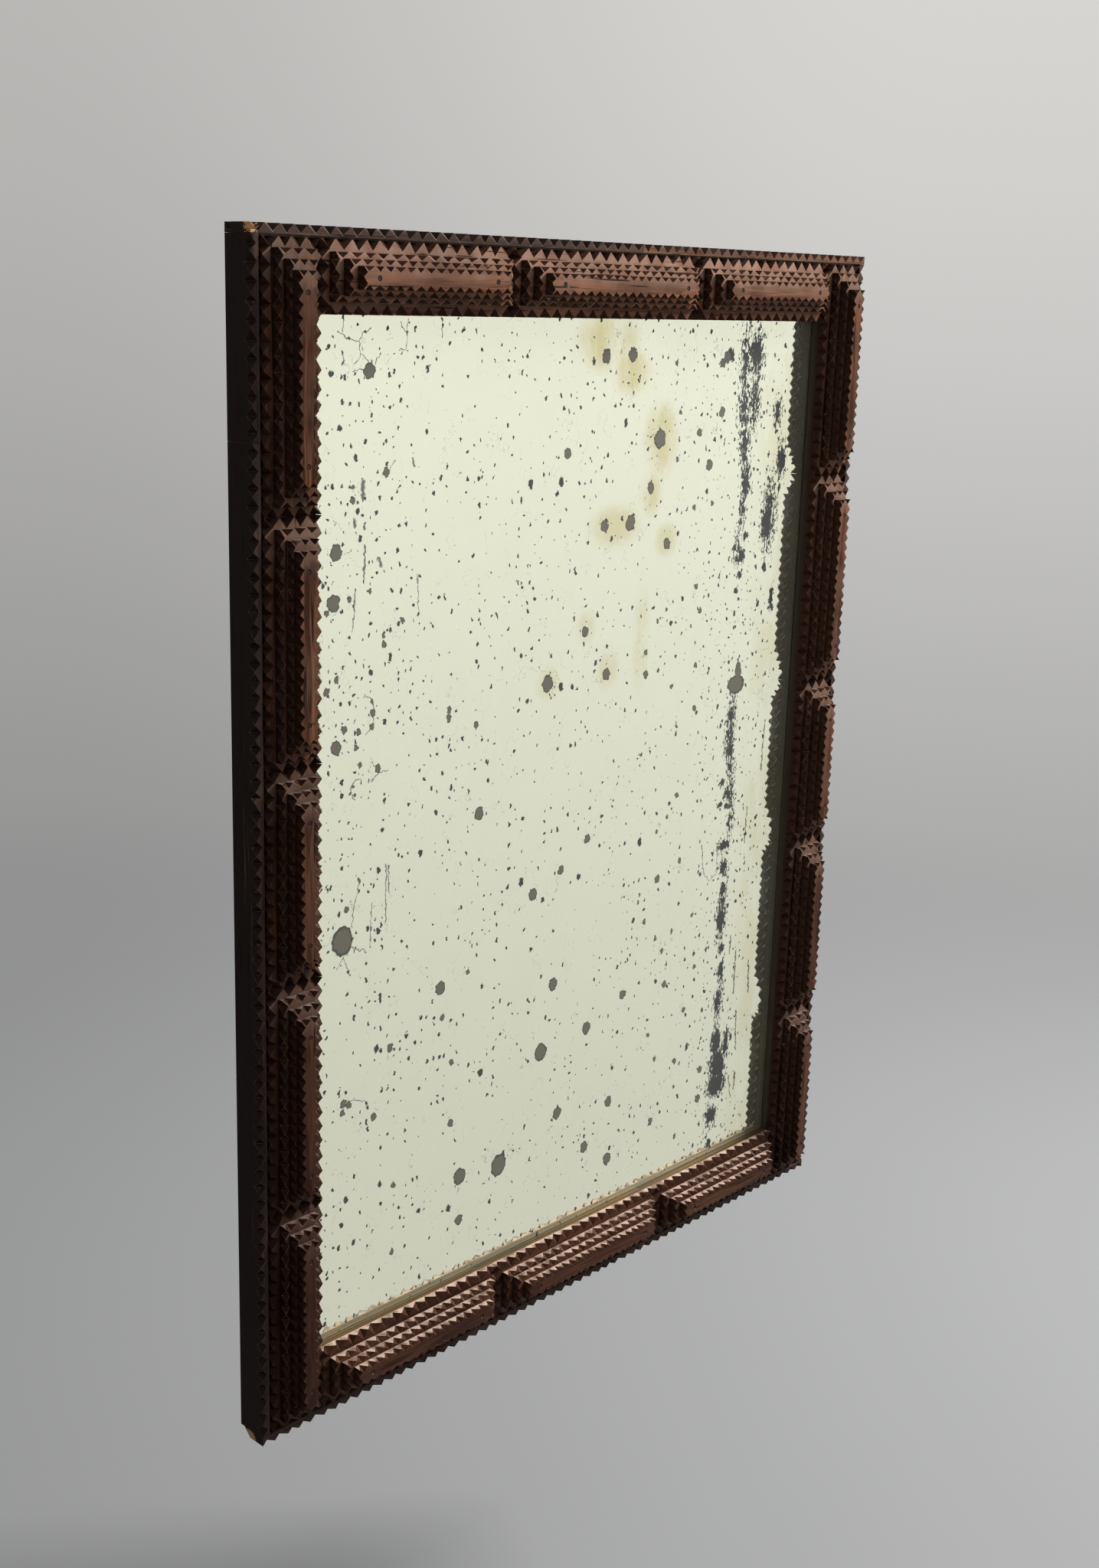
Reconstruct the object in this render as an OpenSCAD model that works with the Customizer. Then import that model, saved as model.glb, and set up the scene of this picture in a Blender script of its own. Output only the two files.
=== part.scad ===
// Wall mirror in a tramp art frame: stepped blocks of notched thin boards on a half-lapped, rebated base.
// Millimetres. X runs to the right, Y into the wall, Z up. The origin is the centre of the back.

/* [Frame] */
// Width of the glass that shows between the slips
sight_w = 454; // [430:1:480]
// Height of the glass that shows between the slips
sight_h = 616; // [590:1:640]
// Width of the widest notched layer, the width of the moulding
band_w = 39; // [38:0.5:42]
// Thickness of the base boards
base_t = 11; // [9:0.5:13]
// Thickness of the boards and strips round the outside
edge_t = 5.4; // [4.5:0.1:6]
// How far the outer boards stand back from the front of the first layer
edge_back = 1; // [0.5:0.1:2]

/* [Chip carving] */
// Thickness of one layer of thin board
layer_t = 5; // [4.5:0.1:5.5]
// How much narrower the second layer is than the first, on each side
first_step = 6.6; // [6.2:0.1:7]
// How much narrower each later layer is, on each side
side_step = 3.4; // [3.3:0.1:3.6]
// How much shorter each layer is at each end
end_step = 5.5; // [4.8:0.1:6]
// Spacing of the notches along the first layer of the stiles
stile_pitch = 9.3; // [8:0.1:10]
// Spacing of the notches along the first layer of the top rail
top_pitch = 10.3; // [8:0.1:11]
// Spacing of the notches along the first layer of the bottom rail
bottom_pitch = 9.2; // [8:0.1:11]
// Spacing of one layer's notches over those of the layer under it
pitch_taper = 0.9; // [0.86:0.01:0.95]
// Depth of the notches on the first layer
notch_d = 5.8; // [5:0.1:6]
// Depth of the notches on the second layer
upper_notch_d = 3.3; // [2.8:0.1:3.3]
// Depth of one layer's notches over those of the layer under it, above the second
depth_taper = 0.95; // [0.85:0.01:1]
// How far the hand-cut notches wander, as a share of their spacing
wander = 0.1; // [0:0.01:0.14]

/* [Outer boards] */
// Spacing of the notches along the outer boards
edge_pitch = 9.4; // [8.5:0.1:10.5]
// Depth of the notches across the front of the side boards
side_notch_d = 4.4; // [3.6:0.1:4.6]
// Depth of the notches across the front of the top and bottom strips
strip_notch_d = 5; // [4:0.1:5.1]
// How far back along the side of a board its notches run out
edge_notch_run = 5.7; // [4.5:0.1:7]
// Height above the middle at which the left side board is butted from two lengths
left_butt_z = 242; // [200:1:270]
// Distance right of the middle at which the top strip is butted from two lengths
top_butt_x = 32; // [-100:1:100]

/* [Glazing] */
// Thickness of the base's lip, in front of the glass
lip_t = 5; // [4:0.1:5.5]
// Thickness of the mirror glass
glass_t = 2.5; // [2:0.1:3]
// Thickness of the back boards
back_t = 6.3; // [6:0.1:7.5]
// Thickness of the slips that line the opening
slip_t = 2; // [1.5:0.1:2.5]
// How far the glass reaches behind the slips
glass_lap = 6.5; // [5:0.1:7]
// Width of the packing strips that hold the glass in the rebate
packer_w = 5; // [3:0.1:6]
// How far the back boards reach past the rebate
back_lap = 8; // [6:0.5:8.5]
// Distance left of the middle of the first joint in the bottom slip
slip_joint_left = 90; // [40:1:150]
// Distance right of the middle of the second joint in the bottom slip
slip_joint_right = 78; // [30:1:150]

/* [Hangers] */
// Height of the ring pivots above the middle of the frame
ring_z = 150; // [60:1:200]
// Radius of the ring's arc, to the middle of the wire
ring_r = 8.6; // [7.8:0.1:8.9]
// Length of the hanger straps below the ring pivots
strap_len = 40; // [38:1:50]
// Width of the hanger straps
strap_w = 12; // [10:0.1:12.5]

/* [Hidden] */
$fn = 64;

// clearances
block_gap = 0.5;
groove = 1.4;
top_groove = 0.9;
butt_gap = 0.1;
round_gap = 0.3;
skin_t = 0.3;
glass_play = 0.5;

// depths, from the wall plane at 0 to the front
back_y = -back_t;
base_y = back_y - base_t;
glass_y = base_y + lip_t;
silver_y = glass_y + glass_t;
packer_y = silver_y + skin_t;
edge_y = base_y - layer_t + edge_back;
edge_deep = -edge_y;

// half sizes seen from the front
sw = sight_w / 2;
sh = sight_h / 2;
lw = sw + band_w;
lh = sh + band_w;
bw = lw + groove;
bh = lh + top_groove;
ow = bw + edge_t;
oh = bh + edge_t;
gw = sw + glass_lap;
gh = sh + glass_lap;

// where the blocks of one side end, as shares of its length from the bottom or from the left
left_cuts = [0, 0.204, 0.408, 0.591, 0.792, 1];
right_cuts = [0, 0.199, 0.397, 0.572, 0.79, 1];
top_cuts = [0, 0.318, 0.69, 1];
bottom_cuts = [0, 0.331, 0.693, 1];

// how far off its centre the left upright's fourth layer is glued, towards the outside
left_off = 1.6;

// half-lap depth in the base boards
lap_y = base_y + base_t / 2;

// rebate for the glass, and the three back boards over it
pw = gw + glass_play;
ph = gh + glass_play;
back_w = pw + back_lap;
back_h = ph + back_lap;
board_h = 2 * back_h / 3;

// brads through the stacked layers
brad_r = 0.6;
brad_len = 3 * layer_t - 1;
brad_head_r = 1.2;
brad_head_t = 0.8;
brad_sink = 0.15;
brad_in = 11;

// back nails
nail_r = 0.8;
nail_len = 12;
nail_head_r = 1.7;
nail_head_t = 0.7;
nail_sink = 0.2;
nail_in = 30;
nail_x = pw + back_lap / 2;
nail_zs = [for (b = [-1:1]) for (s = [-1, 1]) b * board_h + s * (board_h / 2 - nail_in)];
nail_bite = nail_len - back_t;

// hangers
strap_t = 1;
strap_clip = 3;
hang_x = (bw + back_w) / 2;
bar_r = 1.4;
wire_r = 1.25;
knuckle_r = 2.6;
pin_gap = 0.3;
pivot_y = back_y + knuckle_r + pin_gap;
leg_len = 5;
screw_r = 1.5;
screw_head_r = 2.8;
screw_head_t = 1.5;
screw_len = 9;
screw_in = 7;
screw_clear = 2.4;
screw_slot = 0.8;
ring_drop = leg_len + ring_r + wire_r;
screw_at = [-ring_drop - screw_clear - screw_head_r, screw_in - strap_len];

// corners that the outer strips have lost
chip_turn = 38;
chip_drop = edge_t * 0.7;
nick_turn = 35;
nick_drop = 3.6;
nick_in = 4.6;
wear_r = 9;
wear_len = 6;

// colours
stain = [0.36, 0.2, 0.14];
stain_dark = [0.25, 0.14, 0.1];
raw_wood = [0.66, 0.5, 0.32];
gilt_wood = [0.6, 0.45, 0.24];
steel = [0.6, 0.58, 0.52];

// Wandering of the hand that cut the notches, from -1 to 1
function wob(k) = sin(k * 137.508 + 61 * sin(k * 77.7));

// Where the tip or valley number k of n stands along an edge of length len, in half notches
function along(len, n, k, seed) =
    k == 0 || k == 2 * n ? len * k / (2 * n)
    : len * k / (2 * n) + wander * len / n * (k % 2 == 0 ? 1 : 0.5) * wob(seed + k);

function first_pitch(side) = side == "top" ? top_pitch : side == "bottom" ? bottom_pitch : stile_pitch;
function pitch(side, i) = first_pitch(side) * pow(pitch_taper, i - 1);
function depth(i) = i == 1 ? notch_d : upper_notch_d * pow(depth_taper, i - 2);
function inset(i) = i == 1 ? 0 : first_step + side_step * (i - 2);
function layer_w(i) = band_w - 2 * inset(i);
function slide(side, i) = side == "left" && i == 4 ? -left_off : 0;
function layer_front(i) = base_y - layer_t * i;
function end_count(i) = [4, 3, 3, 2][i - 1];

// Row of V notches along the arris at y = 0, z = 0, running out through the side after run
module notch_row(len, n, d, run, seed) {
    tilt = atan(d / run);
    blunt = 0.2;
    far = d + 6;
    edge = [for (k = [0:2 * n]) [
        along(len, n, k, seed),
        cos(tilt) * (k % 2 == 0 ? -blunt : d * (1 - 0.07 * (1 + wob(seed * 3 + k))))
    ]];
    rotate([tilt, 0, 0])
        translate([0, 0, -far])
            linear_extrude(4 * far)
                polygon(concat(
                    edge,
                    [[len + 2, -blunt * cos(tilt)], [len + 2, -far], [-2, -far], [-2, -blunt * cos(tilt)]]
                ));
}

// One notched board, its front face at z = 0 and its length along x
module notched_board(len, w, n_side, n_end, d, seed) {
    run = layer_t * 0.94;
    difference() {
        cube([len, w, layer_t]);
        notch_row(len, n_side, d, run, seed);
        translate([len, w, 0])
            rotate([0, 0, 180])
                notch_row(len, n_side, d, run, seed + 17);
        translate([len, 0, 0])
            rotate([0, 0, 90])
                notch_row(w, n_end, d, run, seed + 31);
        translate([0, w, 0])
            rotate([0, 0, -90])
                notch_row(w, n_end, d, run, seed + 43);
    }
}

// Holes that a layer has for the brads near its two ends, on the line at y
module brad_holes(i, len, y) {
    end = brad_in + end_step * (4 - i);
    for (x = [end, len - end])
        translate([x, y, 0]) {
            translate([0, 0, -1])
                cylinder(h = i == 2 ? brad_len - 2 * layer_t + 1.3 : layer_t + 2, r = brad_r + round_gap);
            if (i == 4)
                translate([0, 0, -1])
                    cylinder(h = 1 + brad_sink + brad_head_t, r = brad_head_r + round_gap);
        }
}

// Layer i of one block, its front face at z = 0
module layer(side, i, len, seed) {
    l = len - block_gap - 2 * end_step * (i - 1);
    w = layer_w(i);
    n = max(4, round(l / pitch(side, i)));
    if (i == 1)
        notched_board(l, w, n, end_count(i), depth(i), seed);
    else
        difference() {
            notched_board(l, w, n, end_count(i), depth(i), seed);
            brad_holes(i, l, w / 2 + slide(side, 4) - slide(side, i));
        }
}

// Layer i of every block of one upright, which starts at x0 and is counted from the bottom
module upright_layer(side, i, x0, cuts, seed) {
    for (b = [0:len(cuts) - 2])
        translate([
            x0 + inset(i) + slide(side, i),
            layer_front(i),
            -lh + 2 * lh * cuts[b] + block_gap / 2 + end_step * (i - 1)
        ])
            rotate([0, -90, -90])
                layer(side, i, 2 * lh * (cuts[b + 1] - cuts[b]), seed + 7 * b + 91 * i);
}

// Layer i of every block of one crosspiece, which hangs from z0 and is counted from the left
module cross_layer(side, i, z0, cuts, seed) {
    for (b = [0:len(cuts) - 2])
        translate([
            -sw + 2 * sw * cuts[b] + block_gap / 2 + end_step * (i - 1),
            layer_front(i),
            z0 - inset(i)
        ])
            rotate([-90, 0, 0])
                layer(side, i, 2 * sw * (cuts[b + 1] - cuts[b]), seed + 7 * b + 91 * i);
}

module left_layer_1() color(stain_dark) upright_layer("left", 1, -lw, left_cuts, 3);
module left_layer_2() color(stain_dark) upright_layer("left", 2, -lw, left_cuts, 3);
module left_layer_3() color(stain) upright_layer("left", 3, -lw, left_cuts, 3);
module left_layer_4() color(stain) upright_layer("left", 4, -lw, left_cuts, 3);
module right_layer_1() color(stain_dark) upright_layer("right", 1, sw, right_cuts, 5);
module right_layer_2() color(stain_dark) upright_layer("right", 2, sw, right_cuts, 5);
module right_layer_3() color(stain) upright_layer("right", 3, sw, right_cuts, 5);
module right_layer_4() color(stain) upright_layer("right", 4, sw, right_cuts, 5);
module top_layer_1() color(stain_dark) cross_layer("top", 1, lh, top_cuts, 11);
module top_layer_2() color(stain_dark) cross_layer("top", 2, lh, top_cuts, 11);
module top_layer_3() color(stain) cross_layer("top", 3, lh, top_cuts, 11);
module top_layer_4() color(stain) cross_layer("top", 4, lh, top_cuts, 11);
module bottom_layer_1() color(stain_dark) cross_layer("bottom", 1, -sh, bottom_cuts, 23);
module bottom_layer_2() color(stain_dark) cross_layer("bottom", 2, -sh, bottom_cuts, 23);
module bottom_layer_3() color(stain) cross_layer("bottom", 3, -sh, bottom_cuts, 23);
module bottom_layer_4() color(stain) cross_layer("bottom", 4, -sh, bottom_cuts, 23);

// Box from one corner to the other
module span(a, b) {
    translate(a)
        cube(b - a);
}

// Rebate round the glass, open to the back
module rebate() {
    span([-pw, glass_y, -ph], [pw, back_y + 1, ph]);
}

// Clearance hole for a back nail or a hanger screw, open to the wall, at x and z
module pilot(x, z, r, deep) {
    translate([x, back_y + 1, z])
        rotate([90, 0, 0])
            cylinder(h = deep + 1, r = r + round_gap);
}

// Upright of the base at the side sx, halved at both ends for the crosspieces
module stile(sx) {
    difference() {
        span(
            [min(sx * bw, sx * (sw + slip_t)), base_y, -bh],
            [max(sx * bw, sx * (sw + slip_t)), back_y, bh]
        );
        for (sz = [-1, 1])
            span(
                [-bw - 1, lap_y, sz > 0 ? sh + slip_t : -bh - 1],
                [bw + 1, back_y + 1, sz > 0 ? bh + 1 : -sh - slip_t]
            );
        rebate();
        for (z = nail_zs)
            pilot(sx * nail_x, z, nail_r, nail_bite + 0.5);
        for (dz = screw_at)
            pilot(sx * hang_x, ring_z + dz, screw_r, screw_len - strap_t + 0.5);
    }
}

// Crosspiece of the base at the side sz, with a tongue behind each upright
module rail(sz) {
    z0 = sz > 0 ? sh + slip_t : -bh;
    z1 = sz > 0 ? bh : -sh - slip_t;
    difference() {
        union() {
            span([-sw - slip_t, base_y, z0], [sw + slip_t, back_y, z1]);
            span([-bw, lap_y, z0], [bw, back_y, z1]);
        }
        rebate();
    }
}

module left_stile() color(raw_wood) stile(-1);
module right_stile() color(raw_wood) stile(1);
module top_rail() color(raw_wood) rail(1);
module bottom_rail() color(raw_wood) rail(-1);

// Outer board on edge, notched along its front outer arris, standing from z0 to z1 at the side sx
module side_board(sx, z0, z1, seed) {
    l = z1 - z0;
    difference() {
        span([min(sx * bw, sx * ow), edge_y, z0], [max(sx * bw, sx * ow), 0, z1]);
        translate([sx * ow, edge_y, z0])
            mirror([sx > 0 ? 1 : 0, 0, 0])
                rotate([0, -90, -90])
                    notch_row(l, round(l / edge_pitch), side_notch_d, edge_notch_run, seed);
    }
}

module left_side_upper() color(stain_dark) side_board(-1, left_butt_z + butt_gap, bh - butt_gap, 57);
module left_side_lower() color(stain_dark) side_board(-1, -bh + butt_gap, left_butt_z, 71);
module right_side() color(stain_dark) side_board(1, -bh + butt_gap, bh - butt_gap, 83);

// Strip over the top from x0 to x1, notched along its front upper arris
module top_strip(x0, x1, seed) {
    l = x1 - x0;
    difference() {
        span([x0, edge_y, bh], [x1, 0, oh]);
        translate([x0, edge_y, oh])
            rotate([-90, 0, 0])
                notch_row(l, round(l / edge_pitch), strip_notch_d, edge_notch_run, seed);
    }
}

// The left length has lost two corners at its end
module top_strip_left() {
    color(stain_dark)
        difference() {
            top_strip(-ow, top_butt_x, 97);
            translate([-ow, 0, oh])
                rotate([0, 0, chip_turn])
                    translate([-edge_deep, -edge_deep / 5, -chip_drop])
                        cube(edge_deep);
            translate([-ow, edge_y, oh - nick_drop])
                rotate([0, 0, -nick_turn])
                    translate([nick_in - edge_deep, -nick_in, 0])
                        cube([edge_deep, 2 * nick_in, edge_t]);
        }
}

module top_strip_right() color(stain) top_strip(top_butt_x + butt_gap, ow, 113);

// Strip under the bottom, notched along its front lower arris, its left end worn round
module bottom_strip() {
    l = 2 * ow;
    color(stain_dark)
        difference() {
            span([-ow, edge_y, -oh], [ow, 0, -bh]);
            translate([ow, edge_y, -oh])
                rotate([-90, 180, 0])
                    notch_row(l, round(l / edge_pitch), strip_notch_d, edge_notch_run, 131);
            translate([-ow - 1, -wear_r, -oh])
                rotate([45, 0, 0])
                    translate([0, 0, -edge_deep])
                        cube([wear_len + 1, 2 * edge_deep, edge_deep]);
        }
}

// Linings of the opening, from the front of the base to the glass
module left_slip() color(gilt_wood) span([-sw - slip_t, base_y, -sh], [-sw, glass_y, sh]);
module right_slip() color(gilt_wood) span([sw, base_y, -sh], [sw + slip_t, glass_y, sh]);
module top_slip() color(gilt_wood) span([-sw - slip_t, base_y, sh], [sw + slip_t, glass_y, sh + slip_t]);

// Length of the bottom lining from x0 to x1
module bottom_slip(x0, x1) {
    span([x0, base_y, -sh - slip_t], [x1, glass_y, -sh]);
}

module bottom_slip_left() color(gilt_wood) bottom_slip(-sw - slip_t, -slip_joint_left);
module bottom_slip_middle() color(gilt_wood) bottom_slip(-slip_joint_left + butt_gap, slip_joint_right);
module bottom_slip_right() color(gilt_wood) bottom_slip(slip_joint_right + butt_gap, sw + slip_t);

module mirror_glass() color([0.75, 0.82, 0.78, 0.5]) span([-gw, glass_y, -gh], [gw, silver_y, gh]);
module mirror_silvering() color([0.85, 0.86, 0.82]) span([-gw, silver_y, -gh], [gw, packer_y, gh]);

// Packing strips in the rebate, between the glass and the back boards
module side_packer(sx) {
    px = pw - packer_w;
    span([min(sx * px, sx * pw), packer_y, -ph], [max(sx * px, sx * pw), back_y, ph]);
}

module cross_packer(sz) {
    px = pw - packer_w;
    pz = ph - packer_w;
    span([-px, packer_y, min(sz * pz, sz * ph)], [px, back_y, max(sz * pz, sz * ph)]);
}

module left_packer() color(raw_wood) side_packer(-1);
module right_packer() color(raw_wood) side_packer(1);
module top_packer() color(raw_wood) cross_packer(1);
module bottom_packer() color(raw_wood) cross_packer(-1);

// Back board number b of three, counted from the middle
module back_board(b) {
    difference() {
        span(
            [-back_w, back_y, (b - 0.5) * board_h + butt_gap / 2],
            [back_w, 0, (b + 0.5) * board_h - butt_gap / 2]
        );
        for (sx = [-1, 1])
            for (s = [-1, 1])
                translate([sx * nail_x, 1, b * board_h + s * (board_h / 2 - nail_in)])
                    rotate([90, 0, 0]) {
                        cylinder(h = back_t + 2, r = nail_r + round_gap);
                        cylinder(h = 1 + nail_sink + nail_head_t, r = nail_head_r + round_gap);
                    }
    }
}

module back_board_upper() color(raw_wood) back_board(1);
module back_board_middle() color(raw_wood) back_board(0);
module back_board_lower() color(raw_wood) back_board(-1);

// Headed pin whose head is level with z = 0 and which runs along z
module headed_pin(r, len, head_r, head_t) {
    union() {
        cylinder(h = len, r = r);
        cylinder(h = head_t, r = head_r);
    }
}

// Two brads near the ends of a block of length len
module block_brads(len) {
    l = len - block_gap - 6 * end_step;
    for (x = [brad_in, l - brad_in])
        translate([x, layer_w(4) / 2, brad_sink])
            headed_pin(brad_r, brad_len - brad_sink, brad_head_r, brad_head_t);
}

module upright_brads(side, x0, cuts) {
    for (b = [0:len(cuts) - 2])
        translate([
            x0 + inset(4) + slide(side, 4),
            layer_front(4),
            -lh + 2 * lh * cuts[b] + block_gap / 2 + end_step * 3
        ])
            rotate([0, -90, -90])
                block_brads(2 * lh * (cuts[b + 1] - cuts[b]));
}

module cross_brads(z0, cuts) {
    for (b = [0:len(cuts) - 2])
        translate([
            -sw + 2 * sw * cuts[b] + block_gap / 2 + end_step * 3,
            layer_front(4),
            z0 - inset(4)
        ])
            rotate([-90, 0, 0])
                block_brads(2 * sw * (cuts[b + 1] - cuts[b]));
}

module layer_brads() {
    color(steel) {
        upright_brads("left", -lw, left_cuts);
        upright_brads("right", sw, right_cuts);
        cross_brads(lh, top_cuts);
        cross_brads(-sh, bottom_cuts);
    }
}

module back_nails() {
    color(steel)
        for (sx = [-1, 1])
            for (z = nail_zs)
                translate([sx * nail_x, -nail_sink, z])
                    rotate([90, 0, 0])
                        headed_pin(nail_r, nail_len - nail_sink, nail_head_r, nail_head_t);
}

// Plate folded round the ring's bar, screwed to the back of the upright at the side sx
module strap(sx) {
    translate([sx * hang_x, back_y, ring_z])
        difference() {
            union() {
                rotate([90, 0, 0])
                    translate([0, 0, -strap_t])
                        linear_extrude(strap_t)
                            polygon([
                                [-strap_w / 2, 0],
                                [-strap_w / 2, strap_clip - strap_len],
                                [strap_clip - strap_w / 2, -strap_len],
                                [strap_w / 2 - strap_clip, -strap_len],
                                [strap_w / 2, strap_clip - strap_len],
                                [strap_w / 2, 0]
                            ]);
                translate([-strap_w / 2, pivot_y - back_y, 0])
                    rotate([0, 90, 0])
                        cylinder(h = strap_w, r = knuckle_r);
                span([-strap_w / 2, 0, -knuckle_r], [strap_w / 2, pivot_y - back_y, 0]);
            }
            translate([-strap_w, pivot_y - back_y, 0])
                rotate([0, 90, 0])
                    cylinder(h = 2 * strap_w, r = bar_r + pin_gap);
            for (dz = screw_at)
                translate([0, strap_t + 1, dz])
                    rotate([90, 0, 0])
                        cylinder(h = strap_t + 2, r = screw_r + round_gap);
        }
}

module left_strap() color(steel) strap(-1);
module right_strap() color(steel) strap(1);

// Wire ring with a straight bar through the knuckle, hanging down
module ring(sx) {
    translate([sx * hang_x, pivot_y, ring_z])
        union() {
            translate([-ring_r - bar_r, 0, 0])
                rotate([0, 90, 0])
                    cylinder(h = 2 * (ring_r + bar_r), r = bar_r);
            for (x = [-ring_r, ring_r])
                translate([x, 0, -leg_len])
                    cylinder(h = leg_len, r = wire_r);
            translate([0, 0, -leg_len])
                rotate([-90, 0, 0])
                    rotate_extrude(angle = 180)
                        translate([ring_r, 0])
                            circle(r = wire_r);
        }
}

module left_ring() color(steel) ring(-1);
module right_ring() color(steel) ring(1);

// Round-headed screws, slotted, head towards the wall
module hanger_screws() {
    color(steel)
        for (sx = [-1, 1])
            for (dz = screw_at)
                translate([sx * hang_x, back_y + strap_t + screw_head_t, ring_z + dz])
                    rotate([90, 0, 0])
                        difference() {
                            headed_pin(screw_r, screw_len + screw_head_t, screw_head_r, screw_head_t);
                            translate([-2 * screw_head_r, -screw_slot / 2, -screw_slot])
                                cube([4 * screw_head_r, screw_slot, 2 * screw_slot]);
                        }
}

left_layer_1();
left_layer_2();
left_layer_3();
left_layer_4();
right_layer_1();
right_layer_2();
right_layer_3();
right_layer_4();
top_layer_1();
top_layer_2();
top_layer_3();
top_layer_4();
bottom_layer_1();
bottom_layer_2();
bottom_layer_3();
bottom_layer_4();
left_stile();
right_stile();
top_rail();
bottom_rail();
left_side_upper();
left_side_lower();
right_side();
top_strip_left();
top_strip_right();
bottom_strip();
left_slip();
right_slip();
top_slip();
bottom_slip_left();
bottom_slip_middle();
bottom_slip_right();
mirror_glass();
mirror_silvering();
left_packer();
right_packer();
top_packer();
bottom_packer();
back_board_upper();
back_board_middle();
back_board_lower();
layer_brads();
back_nails();
left_strap();
right_strap();
left_ring();
right_ring();
hanger_screws();
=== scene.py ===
"""Wall mirror in a tramp art frame: the finishes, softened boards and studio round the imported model."""

import logging
import math
from dataclasses import dataclass, field
from enum import Enum
from typing import Optional, Sequence, Union

import bpy
from mathutils import Matrix, Vector


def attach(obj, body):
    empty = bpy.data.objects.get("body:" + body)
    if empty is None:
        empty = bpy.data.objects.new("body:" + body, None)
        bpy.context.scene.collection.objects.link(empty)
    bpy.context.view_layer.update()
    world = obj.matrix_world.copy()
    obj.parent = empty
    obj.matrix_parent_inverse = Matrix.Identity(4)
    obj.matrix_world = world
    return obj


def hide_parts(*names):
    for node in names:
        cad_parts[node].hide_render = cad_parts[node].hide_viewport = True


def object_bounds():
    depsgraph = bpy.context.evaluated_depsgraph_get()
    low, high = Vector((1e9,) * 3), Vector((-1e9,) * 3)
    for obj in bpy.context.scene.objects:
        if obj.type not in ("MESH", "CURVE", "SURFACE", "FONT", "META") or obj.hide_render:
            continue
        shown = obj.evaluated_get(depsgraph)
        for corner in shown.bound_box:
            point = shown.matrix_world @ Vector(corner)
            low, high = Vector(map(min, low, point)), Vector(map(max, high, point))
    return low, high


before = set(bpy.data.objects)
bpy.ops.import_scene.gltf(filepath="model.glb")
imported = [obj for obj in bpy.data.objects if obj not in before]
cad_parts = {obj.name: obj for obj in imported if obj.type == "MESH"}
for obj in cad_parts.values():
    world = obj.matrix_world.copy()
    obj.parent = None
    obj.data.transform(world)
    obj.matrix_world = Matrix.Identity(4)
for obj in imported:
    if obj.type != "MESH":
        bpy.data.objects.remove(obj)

CAD_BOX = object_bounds()
LOG = logging.getLogger("tramp_art_mirror")
MM = 0.001
WELD = 0.002 * MM

Triple = tuple[float, float, float]
Colour = Triple
Socket = bpy.types.NodeSocket
Value = Union[float, Socket]


class Grain(Enum):
    """Which way the fibres of a board run, as the scale of its pattern on each axis."""

    ACROSS = (0.045, 1.0, 1.0)
    UPRIGHT = (1.0, 1.0, 0.045)


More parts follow.
